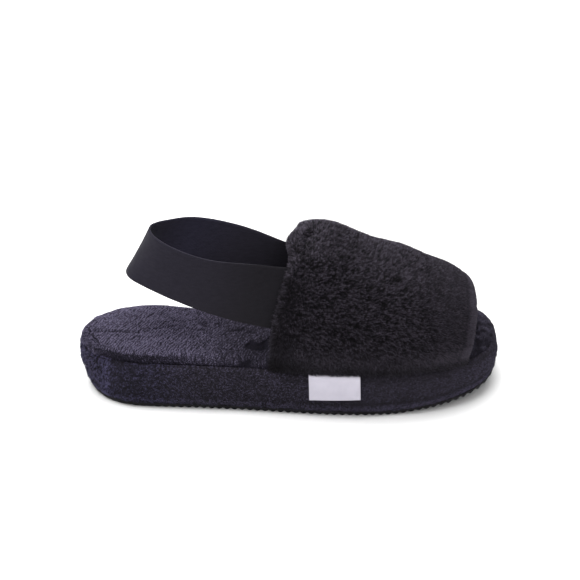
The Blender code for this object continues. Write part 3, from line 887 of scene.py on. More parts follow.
def make_wrap_nap():
    """Short brushed hairs over the wrapped wall."""
    normals = grid_normals(WRAP_GRID, wrap_columns=True)
    if (normals[10, :, :2] * _wrap_out).sum() < 0:
        normals = -normals
    p, normal, row, column = scatter(WRAP_GRID, normals, 8.8, wrap_columns=True)
    run = np.interp(column, np.arange(WRAP_COUNT), _wrap_run)
    share = np.interp(row, np.arange(len(WRAP_SHARES)), WRAP_SHARES)
    dash = wrap_dashes(run, p[:, 0], p[:, 2])
    keep = RNG.random(len(p)) < 0.4 + 0.6 * smoothstep((dash + 0.7) / 0.9)
    p, normal, run, dash, share = p[keep], normal[keep], run[keep], dash[keep], share[keep]
    # more of them over the turned upper edge, where the wall meets the footbed
    edge = np.concatenate([WRAP_GRID[-5:], WRAP_LIP[None]])
    normals = grid_normals(edge, wrap_columns=True)
    if (normals[0, :, :2] * _wrap_out).sum() < 0:
        normals = -normals
    x = _wrap_ring[:, 0]
    cover = np.maximum(smoothstep((-104.0 - x) / 10.0), smoothstep((x - 98.0) / 10.0))
    q, q_normal, _, column = scatter(edge, normals, 9.0, wrap_columns=True, weight=0.25 + 0.75 * cover)
    q_run = np.interp(column, np.arange(WRAP_COUNT), _wrap_run)
    p, normal, run = np.concatenate([p, q]), np.concatenate([normal, q_normal]), np.concatenate([run, q_run])
    share = np.concatenate([share, np.ones(len(q))])
    dash = np.concatenate([dash, wrap_dashes(q_run, q[:, 0], q[:, 2])])
    n = len(p)
    up = unit(np.array([0.0, 0.0, 1.0]) - normal * normal[:, 2:3])
    along = np.cross(up, normal)
    heel = smoothstep((-94.0 - p[:, 0]) / 18.0)
    slope = (
        noise(flat(run + 0.4, p[:, 2]), (4.5, 3.5, 1.0), 12)
        - noise(flat(run - 0.4, p[:, 2]), (4.5, 3.5, 1.0), 12)
    ) / 0.8 * 0.7
    turn = np.arctan(slope) + 1.25 * heel + 0.15 + RNG.normal(0, 0.4, n)
    lie = along * np.cos(turn)[:, None] - up * np.sin(turn)[:, None]
    back = smoothstep((-108.0 - p[:, 0]) / 12.0)
    length = RNG.uniform(0.75, 1.25, n) * (1 + 0.6 * back * RNG.random(n))
    rise = np.clip(RNG.uniform(0.3, 0.6, n) + 0.2 * dash + 0.15 * back, 0.12, 0.9)
    tip = p + (lie * np.sqrt(1 - rise**2)[:, None] + normal * rise[:, None]) * length[:, None]
    root = p - normal * 0.15
    side = unit(np.cross(lie, normal) + normal * RNG.normal(0, 0.35, n)[:, None])
    near = p[:, 1] < 0
    fold = -110.0 + 1.0 * (share - 0.5)
    tone = -0.03 * np.exp(-(((p[:, 0] + 30.0) / 40.0) ** 2)) + 0.05 * smoothstep((p[:, 0] - 20.0) / 40.0)
    tone = tone - 0.11 * near * smoothstep((p[:, 0] - fold) / 2.0) * smoothstep((-76.0 - p[:, 0]) / 16.0)
    tone = tone + 0.06 * near * smoothstep((fold - p[:, 0]) / 4.0) + 0.03 * smoothstep((p[:, 0] - 98.0) / 14.0) - 0.16 * smoothstep((p[:, 0] - 96.0) / 10.0) * smoothstep((share - 0.70) / 0.3)
    # painted highlight: a light line along the heel corner's fold
    tone = tone + 0.60 * near * np.exp(-(((p[:, 0] - fold + 1.2) / 1.1) ** 2)) * smoothstep((share - 0.1) / 0.2)
    # painted highlight along the roll over the foam's lower edge and painted shade in the groove above it
    tone = tone + 0.24 * np.exp(-(((share - 0.10) / 0.055) ** 2)) - 0.14 * np.exp(-(((share - 0.22) / 0.05) ** 2))
    # in the shade of the pile that hangs over it
    tone = tone - 0.15 * smoothstep((share - 0.66) / 0.25) * smoothstep((p[:, 0] + 12.0) / 10.0) * smoothstep((104.0 - p[:, 0]) / 8.0)
    rough = 1.0 - 0.65 * smoothstep((p[:, 0] + 10.0) / 70.0)
    shade = 0.5 + 0.48 * dash + RNG.normal(0, 0.22, n) * rough + tone
    blue = RNG.random(n) < smoothstep((-50.0 - p[:, 0]) / 46.0) * (1 - 0.4 * smoothstep((-112.0 - p[:, 0]) / 10.0))
    return hairs("wrap_nap", root, tip, side, RNG.uniform(0.38, 0.56, n), shade, hue=blue.astype(float))


settle(make_wrap_nap(), "wrap_fleece", m_wrap_nap)


# ================================================================ footbed
def footbed_levels(x):
    """(height over the seam, inset) rows of the footbed's side. The very back of the
    heel is flush with the wall, the heel's sides are square and overhung, the waist
    slopes to the seam and the toe runs on into the wrap."""
    heel = smoothstep((-38.0 - x) / 46.0)
    back = smoothstep((-109.0 - x) / 13.0)
    toe = smoothstep((x - 96.0) / 14.0)
    flush = ((-0.7, 3.6), (0.6, 3.2), (2.0, 3.1), (3.6, 3.6), (4.9, 4.6), (5.7, 6.0), (6.1, 8.2))
    square = ((-0.7, 5.6), (0.8, 5.3), (2.4, 5.5), (4.0, 5.1), (5.0, 4.6), (5.7, 5.4), (6.1, 7.6))
    sloped = ((-0.7, 4.7), (0.3, 4.4), (1.1, 4.9), (2.1, 6.2), (3.2, 8.2), (4.3, 10.8), (5.2, 14.0))
    merged = ((-0.7, 3.5), (0.2, 3.2), (0.9, 3.6), (1.9, 4.9), (3.0, 7.0), (4.1, 9.8), (5.0, 13.0))
    rows = []
    for (h0, i0), (h1, i1), (h2, i2), (h3, i3) in zip(flush, square, sloped, merged):
        height = h1 * heel + (h2 * (1 - toe) + h3 * toe) * (1 - heel)
        inset = i1 * heel + (i2 * (1 - toe) + i3 * toe) * (1 - heel)
        rows.append((h0 * back + height * (1 - back), i0 * back + inset * (1 - back)))
    return rows


_fb_ring, _fb_out = sole_ring(2000)
_fb_height, _fb_inset = footbed_levels(_fb_ring[:, 0])[-1]
_brow = _fb_ring - _fb_out * _fb_inset[:, None]
_BROW_NEAR = np.column_stack([_brow[:1001], _fb_height[:1001]])
_BROW_FAR = np.column_stack(
    [np.vstack([_brow[:1], _brow[:999:-1]]), np.append(_fb_height[:1], _fb_height[:999:-1])]
)


def footbed_rows(x, y):
    """Rows of the footbed's nap, from -1 to 1, slanting across the foot and broken up
    into small tufts, the more so towards the waist."""
    p = flat(x, y)
    r = 0.866 * x - 0.5 * y + 0.9 * noise(p, (15.0, 15.0, 1.0), 33)
    t = 0.5 * x + 0.866 * y
    q = flat(r, t)
    row = np.sin(2 * np.pi * r / 1.75 + 2.6 * noise(q, (2.4, 3.6, 1.0), 36))
    gap = np.sin(2 * np.pi * t / 3.3 + 3.0 * noise(q, (2.0, 3.0, 1.0), 38))
    heel = 0.5 + 0.5 * smoothstep((-45.0 - x) / 40.0)
    fine = noise(q, (0.55, 1.1, 1.0), 35)
    return 0.62 * row * heel * (1.0 + 0.5 * gap) + (0.75 - 0.3 * heel) * fine


def patch_cover(x, y):
    """1 inside the dark patches of the footbed, 0 outside them."""
    cover = np.zeros_like(x)
    for _, corners in FOOTBED_PATCHES:
        corners = np.array(corners)
        within, away = np.zeros(x.shape, bool), np.full(x.shape, 1e9)
        for (ax, ay), (bx, by) in zip(corners, np.roll(corners, -1, 0)):
            crosses = (ay > y) != (by > y)
            within ^= crosses & (x < ax + (y - ay) / (by - ay + 1e-9) * (bx - ax))
            ex, ey = bx - ax, by - ay
            s = np.clip(((x - ax) * ex + (y - ay) * ey) / (ex * ex + ey * ey), 0, 1)
            away = np.minimum(away, np.hypot(x - ax - s * ex, y - ay - s * ey))
        cover = np.maximum(cover, smoothstep(np.where(within, away, -away) / 1.0 + 0.5))
    return cover


def footbed_top(x, y):
    """Height of the footbed at x, y."""
    def edge(line, k):
        keep = np.argsort(line[:, 0])
        return np.interp(x, line[keep, 0], line[keep, k])

    near, far = edge(_BROW_NEAR, 1), edge(_BROW_FAR, 1)
    width = np.maximum(far - near, 1.0)
    s = np.clip((y - near) / width, 0, 1)
    rim = edge(_BROW_NEAR, 2) * (1 - s) + edge(_BROW_FAR, 2) * s
    z = PLATFORM_TOP + rim + 1.5 * (1 - np.abs(2 * s - 1) ** 2.4) * smoothstep(width / 45.0)
    p = np.stack([x, y, np.zeros_like(x)], -1)
    inside = smoothstep(s / 0.06) * smoothstep((1 - s) / 0.06)
    z = z + inside * (
        0.45 * noise(p, (24.0, 18.0, 1.0), 31)
        + 0.25 * noise(p, (8.0, 6.0, 1.0), 32)
        + 0.16 * footbed_rows(x, y)
    )
    for _, dx, dy, long, wide, turn, deep, _ in FOOTBED_DENTS:
        c, sn = math.cos(math.radians(turn)), math.sin(math.radians(turn))
        u = ((x - dx) * c + (y - dy) * sn) / long
        v = (-(x - dx) * sn + (y - dy) * c) / wide
        z = z - deep * np.exp(-(u**4) - v**2) + 0.25 * deep * np.exp(-(u**4) - (np.abs(v) - 2.2) ** 2)
    z = z + 2.0 * np.exp(-(((x - 114.0) / 6.0) ** 2)) * smoothstep((y - 12.0) / 14.0)
    return z - 1.3 * patch_cover(x, y)


def footbed_dark(x, y):
    """How far the nap is darkened at x, y where it is pressed or brushed the other way, and, in the toe gap under
    the vamp's front edge, painted shadow.
    """
    dark = np.zeros_like(x)
    for _, dx, dy, long, wide, turn, _, share in FOOTBED_DENTS:
        c, sn = math.cos(math.radians(turn)), math.sin(math.radians(turn))
        u = ((x - dx) * c + (y - dy) * sn) / long
        v = (-(x - dx) * sn + (y - dy) * c) / wide
        dark = np.maximum(dark, share * np.exp(-(u**4) - v**4))
    return dark


SEAM_PUCKER = (-25.7, 3.3, 2.2)  # x, half length and depth of the pinched spot at the seam


def footbed_sides(ring, outward):
    rows = []
    for height, inset in footbed_levels(ring[:, 0]):
        at = ring - outward * inset[:, None]
        p = np.column_stack([at, PLATFORM_TOP + height])
        push = 0.3 * noise(p, (10.0, 10.0, 5.0), 41) + 0.12 * noise(p, (2.2, 2.2, 1.6), 42)
        push = push + 0.75 * noise(p, (4.2, 4.2, 3.4), 43) * np.maximum(smoothstep((-111.0 - at[:, 0]) / 8.0), 0.8 * smoothstep((at[:, 0] - 104.0) / 10.0))
        pinch = np.exp(-(((at[:, 0] - SEAM_PUCKER[0]) / SEAM_PUCKER[1]) ** 2))
        pinch = pinch * (at[:, 1] < 0) * np.exp(-(((height - 1.6) / 1.8) ** 2))
        p[:, :2] += outward * (push - SEAM_PUCKER[2] * pinch)[:, None]
        rows.append(p)
    return rows


FOOTBED_COUNT = 1000


def footbed_grids():
    """The footbed's side rows, and its top's rungs from lateral to medial brow."""
    count, half = FOOTBED_COUNT, FOOTBED_COUNT // 2
    coarse = np.array(footbed_sides(*sole_ring(count)))
    at = np.linspace(0, len(coarse) - 1, 13)
    rows = cubic(np.arange(len(coarse)), coarse.reshape(len(coarse), -1), at)
    rows = rows.reshape(len(at), count, 3)
    brow = rows[-1]
    columns = 74
    share = (1 - np.cos(np.linspace(0, np.pi, columns))) / 2 * 0.35 + np.linspace(0, 1, columns) * 0.65
    left, right = brow[1:half], brow[-1:half:-1]
    rungs = left[:, None, :] + (right - left)[:, None, :] * share[None, :, None]
    blend = smoothstep(np.minimum(share, 1 - share)[None] / 0.05)
    top = footbed_top(rungs[..., 0], rungs[..., 1])
    rungs[..., 2] = rungs[..., 2] * (1 - blend) + top * blend
    return rows, rungs


FOOTBED_SIDES, FOOTBED_RUNGS = footbed_grids()


def make_footbed():
    count = FOOTBED_COUNT
    half = count // 2
    rows, inner = FOOTBED_SIDES, FOOTBED_RUNGS[:, 1:-1]
    columns = FOOTBED_RUNGS.shape[1]
    points = [np.concatenate(rows), inner.reshape(-1, 3)]
    quads = [grid_quads(len(rows), count, wrap_columns=True)]
    last = (len(rows) - 1) * count
    base = len(points[0])
    ids = np.empty((half + 1, columns), int)
    ids[:, 0] = last + np.arange(half + 1)
    ids[:, -1] = last + (-np.arange(half + 1)) % count
    ids[1:half, 1:-1] = base + np.arange(inner.shape[0] * inner.shape[1]).reshape(inner.shape[:2])
    ids[0, :] = last
    ids[half, :] = last + half
    body = np.stack([ids[:-1, :-1], ids[:-1, 1:], ids[1:, 1:], ids[1:, :-1]], -1)
    quads.append(body[1:-1].reshape(-1, 4))
    tris = [body[0][:, [0, 2, 3]], body[-1][:, [0, 1, 3]]]
    a, b = np.arange(half), np.arange(1, half + 1)
    c, d = (-np.arange(1, half + 1)) % count, (-np.arange(half)) % count
    quads.append(np.stack([a, b, c, d], -1)[1:-1])
    tris.append(np.array([[a[0], b[0], c[0]], [a[-1], b[-1], d[-1]]]))
    return mesh_object(
        "footbed_pad", np.concatenate(points), np.concatenate(quads), np.concatenate(tris)
    )


footbed = settle(make_footbed(), "footbed_fleece", m_footbed, node="insole")


def make_footbed_nap():
    """Short nap over the footbed, its rows slanting across the foot, and on its sides."""
    normals = grid_normals(FOOTBED_RUNGS)
    if normals[:, 30, 2].sum() < 0:
        normals = -normals
    x = FOOTBED_RUNGS[:-1, :-1, 0]
    seen = 1.0 - 0.75 * smoothstep((x - 8.0) / 12.0) * smoothstep((92.0 - x) / 8.0)
    p, normal, _, _ = scatter(FOOTBED_RUNGS, normals, 8.8, weight=seen)
    row = footbed_rows(p[:, 0], p[:, 1])
    keep = RNG.random(len(p)) < 0.4 + 0.6 * smoothstep((row + 0.7) / 0.9)
    p, normal, row = p[keep], normal[keep], row[keep]
    n = len(p)
    x, y = p[:, 0], p[:, 1]
    patch = patch_cover(x, y)
    swirl = 0.2 * noise(flat(x, y), (22.0, 18.0, 1.0), 51) + 0.2 * noise(flat(x, y), (6.0, 6.0, 1.0), 52)
    turn = math.radians(60) + swirl + RNG.normal(0, 0.35, n) + math.pi * (patch > 0.5)
    lie = flat(np.cos(turn), np.sin(turn))
    lie = unit(lie - normal * (lie * normal).sum(1)[:, None])
    length = RNG.uniform(0.85, 1.4, n)
    rise = np.clip(RNG.uniform(0.28, 0.55, n) + 0.2 * row - 0.3 * patch, 0.12, 0.85)
    tip = p + (lie * np.sqrt(1 - rise**2)[:, None] + normal * rise[:, None]) * length[:, None]
    side = unit(np.cross(lie, normal) + normal * RNG.normal(0, 0.35, n)[:, None])
    calm = 1.0 - 0.70 * smoothstep((x - 80.0) / 20.0) - 0.28 * smoothstep((x + 62.0) / 34.0) * (x < 60)
    shade = 0.5 + (0.84 * row + RNG.normal(0, 0.26, n)) * calm + 0.03 * noise(flat(x, y), (9.0, 9.0, 1.0), 54)
    # painted shade: darker towards and under the vamp and at the toe beyond it; the dents' darkening also holds the
    # painted shadow of the toe gap
    shade = shade - 0.7 * footbed_dark(x, y) - (0.23 * smoothstep((x + 60.0) / 34.0) + 0.08 * smoothstep((x + 42.0) / 20.0)) * (x < 60) - 0.26 * (x > 60) - 0.05 * smoothstep((-70.0 - x) / 20.0) * smoothstep((y + 12.0) / 8.0)
    shade = shade * (1 - patch) + 0.04 * patch
    top = (p - normal * 0.15, tip, side, RNG.uniform(0.36, 0.54, n), shade, 0.05 - 0.03 * patch, 0.97 - 0.75 * patch)
    # the sides
    normals = grid_normals(FOOTBED_SIDES, wrap_columns=True)
    if (normals[6, :, :2] * sole_ring(FOOTBED_COUNT)[1]).sum() < 0:
        normals = -normals
    near_top = np.linspace(0.7, 1.0, len(FOOTBED_SIDES) - 2)[:, None] ** 2 + 0 * FOOTBED_SIDES[1:-1, :, 0]
    near_top = np.maximum(near_top, 1.3 * smoothstep((-106.0 - FOOTBED_SIDES[1:-1, :, 0]) / 10.0))
    p, normal, _, _ = scatter(FOOTBED_SIDES[1:], normals[1:], 7.0, wrap_columns=True, weight=near_top)
    n = len(p)
    x, y = p[:, 0], p[:, 1]
    up = unit(np.array([0.0, 0.0, 1.0]) - normal * normal[:, 2:3])
    along = np.cross(up, normal)
    # the heel's overhung band lies flat and gets painted shade, the rest goes on like the top
    band = smoothstep((x + 121.0) / 5.0) * smoothstep((-52.0 - x) / 46.0)
    band = band * smoothstep((PLATFORM_TOP + 5.2 - p[:, 2]) / 1.2) * (y < 0)
    back = smoothstep((-112.0 - x) / 8.0)
    patch = patch_cover(x, y)
    row = footbed_rows(x, y - 1.2 * p[:, 2])
    turn = RNG.normal(0.5, 0.5, n) + back * RNG.normal(0, 0.5, n)
    # lying down over the rim at the back and on the far side
    down = np.maximum(band, np.maximum(back, smoothstep((y + 4.0) / 8.0)))
    lie = up * (np.cos(turn) * (1 - 2 * down))[:, None] + along * np.sin(turn)[:, None]
    lie = unit(lie)
    length = RNG.uniform(0.85, 1.4, n) * (1 + 0.4 * back)
    rise = np.clip(RNG.uniform(0.28, 0.55, n) + 0.2 * row - 0.05 * back - 0.2 * band, 0.12, 0.9)
    tip = p + (lie * np.sqrt(1 - rise**2)[:, None] + normal * rise[:, None]) * length[:, None]
    side = unit(np.cross(lie, normal) + normal * RNG.normal(0, 0.35, n)[:, None])
    lump = noise(p, (4.2, 4.2, 3.4), 43)
    calm = 1.0 - 0.70 * smoothstep((x - 80.0) / 20.0)
    # painted shade over the overhung heel band; painted highlight on the lumps at the heel's back and at the toe,
    # lighter where they bulge out
    shade = 0.5 + (0.5 * row * (1 - 0.5 * band) + RNG.normal(0, 0.26, n)) * calm - 0.30 * band + back * (0.03 + 0.28 * lump) + 0.30 * lump * smoothstep((x - 100.0) / 12.0)
    shade = shade - 0.5 * footbed_dark(x, y)
    # painted shade near and under the vamp and at the toe, as on the top
    shade = shade - ((0.23 * smoothstep((x + 60.0) / 34.0) + 0.14 * smoothstep((x + 42.0) / 20.0)) * (x < 60) + 0.20 * (x > 60) + 0.10 * smoothstep((x - 100.0) / 10.0))
    shade = shade * (1 - patch) + 0.02 * patch
    foot = 0.05 + 0.5 * (1 - band) * (1 - patch)
    rim = (p - normal * 0.12, tip, side, RNG.uniform(0.34, 0.5, n), shade, foot - 0.03 * patch, 0.97 - 0.75 * patch)
    root, tip, side, width, shade, low, high = (np.concatenate(pair) for pair in zip(top, rim))
    plain = RNG.random(len(root)) < smoothstep((root[:, 0] + 75.0) / 70.0)
    return hairs("footbed_nap", root, tip, side, width, shade, low, high, plain.astype(float))


settle(make_footbed_nap(), "footbed_fleece", m_footbed_nap)


# ================================================================ vamp
def rear_edge(turn):
    line = np.array(REAR_LINE, float)
    return cubic(line[:, 0], line[:, 1:], np.clip(np.degrees(turn), 0, 180))[:, 0]


def vamp_inner(share, angle):
    share, angle = np.broadcast_arrays(
        np.asarray(share, float), np.asarray(angle, float)
    )
    flat = share.ravel()
    shares = np.array([r[1] for r in VAMP_SECTIONS])
    values = np.array([r[2:] for r in VAMP_SECTIONS])
    height, crown = cubic(shares, values, np.clip(flat, 0, 1)).T
    turn = angle.ravel()
    up = np.abs(np.sin(turn))
    across = np.cos(turn)
    near = across > 0.0
    side = (1.0 - across) / 2.0
    rear = rear_edge(turn)
    front = (
        FRONT_EDGE["lateral"] * (1 - side)
        + FRONT_EDGE["medial"] * side
        + FRONT_EDGE["lean"] * up ** FRONT_EDGE["bow"]
    )
    foot_x = np.where(
        near,
        REAR_LINE[0][1] * (1 - flat) + FRONT_EDGE["lateral"] * flat,
        REAR_LINE[-1][1] * (1 - flat) + FRONT_EDGE["medial"] * flat,
    )
    foot_y = np.where(
        near,
        -half_width(foot_x, "lateral") + VAMP_INSET,
        half_width(foot_x, "medial") - VAMP_INSET,
    )
    y = crown + (foot_y - crown) * np.abs(across) ** VAMP_FULLNESS
    z = PLATFORM_TOP + VAMP_FOOT + height * up**VAMP_FULLNESS
    x = rear * (1 - flat) + front * flat
    return np.stack([x, y, z], -1).reshape(*share.shape, 3)


def vamp_frame(share, angle):
    """Point of the inner face, unit tangent to the toe, unit normal outwards."""
    e = 2e-3
    share, angle = np.broadcast_arrays(
        np.asarray(share, float), np.asarray(angle, float)
    )
    low, high = np.clip(share - e, 0, 1), np.clip(share + e, 0, 1)
    forward = unit(vamp_inner(high, angle) - vamp_inner(low, angle))
    left = np.clip(angle - e, 0.03, np.pi - 0.03 - e)
    right = np.clip(angle + e, 0.03 + e, np.pi - 0.03)
    over = vamp_inner(share, right) - vamp_inner(share, left)
    normal = unit(np.cross(forward, over))
    return vamp_inner(share, angle), forward, normal


def vamp_place(share, angle, depth):
    """Point at a depth out from the inner face; shares past 0 and 1 run on straight."""
    inside = np.clip(share, 0.0, 1.0)
    point, forward, normal = vamp_frame(inside, angle)
    past = (share - inside) * VAMP_LENGTH
    return point + normal * depth[..., None] + forward * past[..., None], forward, normal


PILE_WALL, PLUSH = 7.7, 2.1  # whole wall, and the share of it that is standing hair
FOOT_PINCH, PINCH_REACH = 0.34, 0.42
REAR_ROLL, FRONT_ROLL, RIM_REACH, RIM_NOSE = 0.16, 0.22, 2.5, 0.30


def rim_profile(count):
    """(share, share of the wall) down the padded wall's outer side, from the tucked
    rear edge over the rolled rims to the tucked front edge, evenly spaced."""
    reach = RIM_REACH / VAMP_LENGTH

    def rolled(roll):
        t = np.radians(np.linspace(88, 0, 20))
        tucked = np.stack([-reach * np.cos(t), RIM_NOSE * (1 - np.sin(t))], 1)
        t = np.radians(np.linspace(90, 0, 40))[1:]
        round_ = np.stack(
            [roll - (roll + reach) * np.sin(t), RIM_NOSE + (1 - RIM_NOSE) * np.cos(t)], 1
        )
        return np.vstack([tucked, round_])

    front = rolled(FRONT_ROLL)[::-1] * [-1, 1] + [1, 0]
    path = np.vstack([rolled(REAR_ROLL), front])
    scaled = evenly(path * [VAMP_LENGTH, PILE_WALL - PLUSH], count)
    return scaled / [VAMP_LENGTH, PILE_WALL - PLUSH]


def vamp_angles(count):
    fine = np.linspace(0.0, np.pi, 1441)
    path = vamp_inner(np.full(fine.shape, 0.4), fine)
    run = np.concatenate([[0.0], np.cumsum(np.linalg.norm(np.diff(path, axis=0), axis=1))])
    over = np.linspace(0, run[-1], count)
    return np.interp(over, run, fine), over


def foot_fill(angle):
    foot = np.minimum(angle, np.pi - angle)
    return FOOT_PINCH + (1.0 - FOOT_PINCH) * smoothstep(foot / PINCH_REACH)


VAMP_COLUMNS, VAMP_ROWS = 150, 84
VAMP_ANGLES, VAMP_OVER = vamp_angles(VAMP_COLUMNS)
VAMP_RIM = rim_profile(VAMP_ROWS)


def vamp_folds_and_painted_light(share, angle):
    """Relief in millimetres, painted light and how tall the hair stands, for the padded wall's own folds: the lumpy
    roll along the rear edge with a fold in front of it, an upright crease over the instep, and the thin lip along
    the front edge. The roll, a second lobe in front of the fold and the lip get painted highlights, the fold, the
    crease and the groove behind the lip get painted shade, and the lower rear edge is darker."""
    deg = np.degrees(angle)
    at = 0.056 + 0.030 * smoothstep((deg - 66.0) / 20.0)
    wide = 0.015 + 0.016 * smoothstep((deg - 70.0) / 14.0)
    strong = smoothstep((deg - 36.0) / 20.0) * smoothstep((94.0 - deg) / 13.0)
    fold = np.exp(-(((share - at) / wide) ** 2)) * strong
    lobe = noise(flat(deg, deg * 0 + 0.5), (6.5, 1.0, 1.0), 64)
    roll = smoothstep((at - share) / 0.02) * strong
    crease = np.exp(-(((share - 0.298) / 0.009) ** 2))
    crease = crease * smoothstep((deg - 54.0) / 12.0) * smoothstep((112.0 - deg) / 14.0)
    lip = smoothstep((share - 0.952) / 0.036) * smoothstep((deg - 4.0) / 8.0) * smoothstep((176.0 - deg) / 8.0)
    behind = np.exp(-(((share - 0.955) / 0.011) ** 2))
    second = np.exp(-(((share - 0.160) / 0.034) ** 2))
    second = second * smoothstep((deg - 66.0) / 12.0) * smoothstep((106.0 - deg) / 12.0)
    edge = smoothstep((0.13 - share) / 0.14) * smoothstep((64.0 - deg) / 16.0)
    relief = roll * (0.6 + 1.0 * lobe) - 2.1 * fold - 0.8 * crease + 0.35 * lip - 0.3 * behind + 0.5 * second
    # painted highlights on the roll, the lip and the second lobe, painted shade in the fold, the crease and behind
    # the lip
    shade = roll * (0.12 + 0.34 * lobe) - 0.14 * fold - 0.30 * crease + (0.56 + 0.6 * noise(flat(deg, deg * 0 + 3.5), (3.5, 1.0, 1.0), 65)) * lip - 0.08 * behind
    shade = shade + 0.12 * second - 0.18 * edge
    return relief, shade, 1.0 - 0.5 * fold


def vamp_outer():
    """Grid of the padded wall's outer side under the hair: rows rear to front, columns
    from the lateral foot over the crown to the medial foot."""
    s, a = np.meshgrid(VAMP_RIM[:, 0], VAMP_ANGLES, indexing="ij")
    out = VAMP_RIM[:, 1][:, None] * foot_fill(a) * (PILE_WALL - PLUSH)
    points, _, normal = vamp_place(s, a, out)
    swell = 0.40 * noise(points, 15.0, 61) + 0.12 * noise(points, 6.0, 62) + vamp_folds_and_painted_light(s, a)[0]
    return points + normal * (swell * VAMP_RIM[:, 1][:, None])[..., None]


VAMP_GRID = vamp_outer()


def make_backing():
    inner_share = np.linspace(0.004, 0.996, VAMP_ROWS)
    s, a = np.meshgrid(inner_share, VAMP_ANGLES, indexing="ij")
    inner, _, normal = vamp_place(s, a, np.zeros_like(s))
    inner = inner + normal * (0.25 * np.abs(noise(inner, 7.0, 63)))[..., None]
    # one loop for each angle: the lining to the front, the outside back to the rear
    loop = np.concatenate([inner, VAMP_GRID[::-1]], 0).transpose(1, 0, 2)
    k = loop.shape[1]
    quads = grid_quads(VAMP_COLUMNS, k, wrap_columns=True)
    slots = np.where(np.tile(np.arange(k), VAMP_COLUMNS - 1) < VAMP_ROWS - 1, 1, 0)
    r = np.arange(VAMP_ROWS - 1)
    for start, flip in ((0, False), ((VAMP_COLUMNS - 1) * k, True)):
        strip = np.stack([r, r + 1, k - 2 - r, k - 1 - r], -1) + start
        quads = np.concatenate([quads, strip[:, ::-1] if flip else strip])
        slots = np.concatenate([slots, np.zeros(len(strip), int)])
    return mesh_object("vamp_backing", loop.reshape(-1, 3), quads, slots=slots)


settle(make_backing(), "pile", m_backing, m_lining, node="vamp")


PILE_CROWN = float(np.interp(np.pi / 2, VAMP_ANGLES, VAMP_OVER))


def pile_lean(a):
    """Slope of the lie: it climbs towards the toe on the sides and levels at the front."""
    return 0.04 - 0.56 * smoothstep((a - 62.0) / 34.0)


def pile_tufts(a, b):
    """Mottled tufts of the plush, from about -1 to 1: small curls, a little drawn out
    along the lie. a runs to the toe, b from the lateral foot over the crown."""
    run = np.linspace(-10.0, 150.0, 400)
    climb = np.interp(a, run, np.cumsum(pile_lean(run)) * (run[1] - run[0]))
    p = flat(a, b)
    wave = b - climb * np.tanh((PILE_CROWN - b) / 15.0) + 0.8 * noise(p, (5.0, 5.0, 1.0), 71)
    q = flat(a + 0.8 * noise(p, (4.0, 4.0, 1.0), 78), wave)
    front = smoothstep((a - 70.0) / 35.0)
    low = smoothstep((30.0 - b) / 26.0)
    curl = 0.65 - 2.4 * np.abs(noise(q, (2.4, 1.6, 1.0), 73))
    fine = noise(q, (2.0, 0.72, 1.0), 74) * (1 - front) + 0.8 * noise(q, (2.3, 0.62, 1.0), 80) * front
    finer = noise(q, (1.4, 0.48, 1.0), 79) * (1 - front) + 0.8 * noise(q, (1.5, 0.5, 1.0), 81) * front
    calm = 1 - np.maximum(0.72 * front, 0.84 * low)
    return 0.22 * curl * (1 - 0.85 * np.maximum(front, low)) + (0.32 * fine + 1.40 * finer) * calm


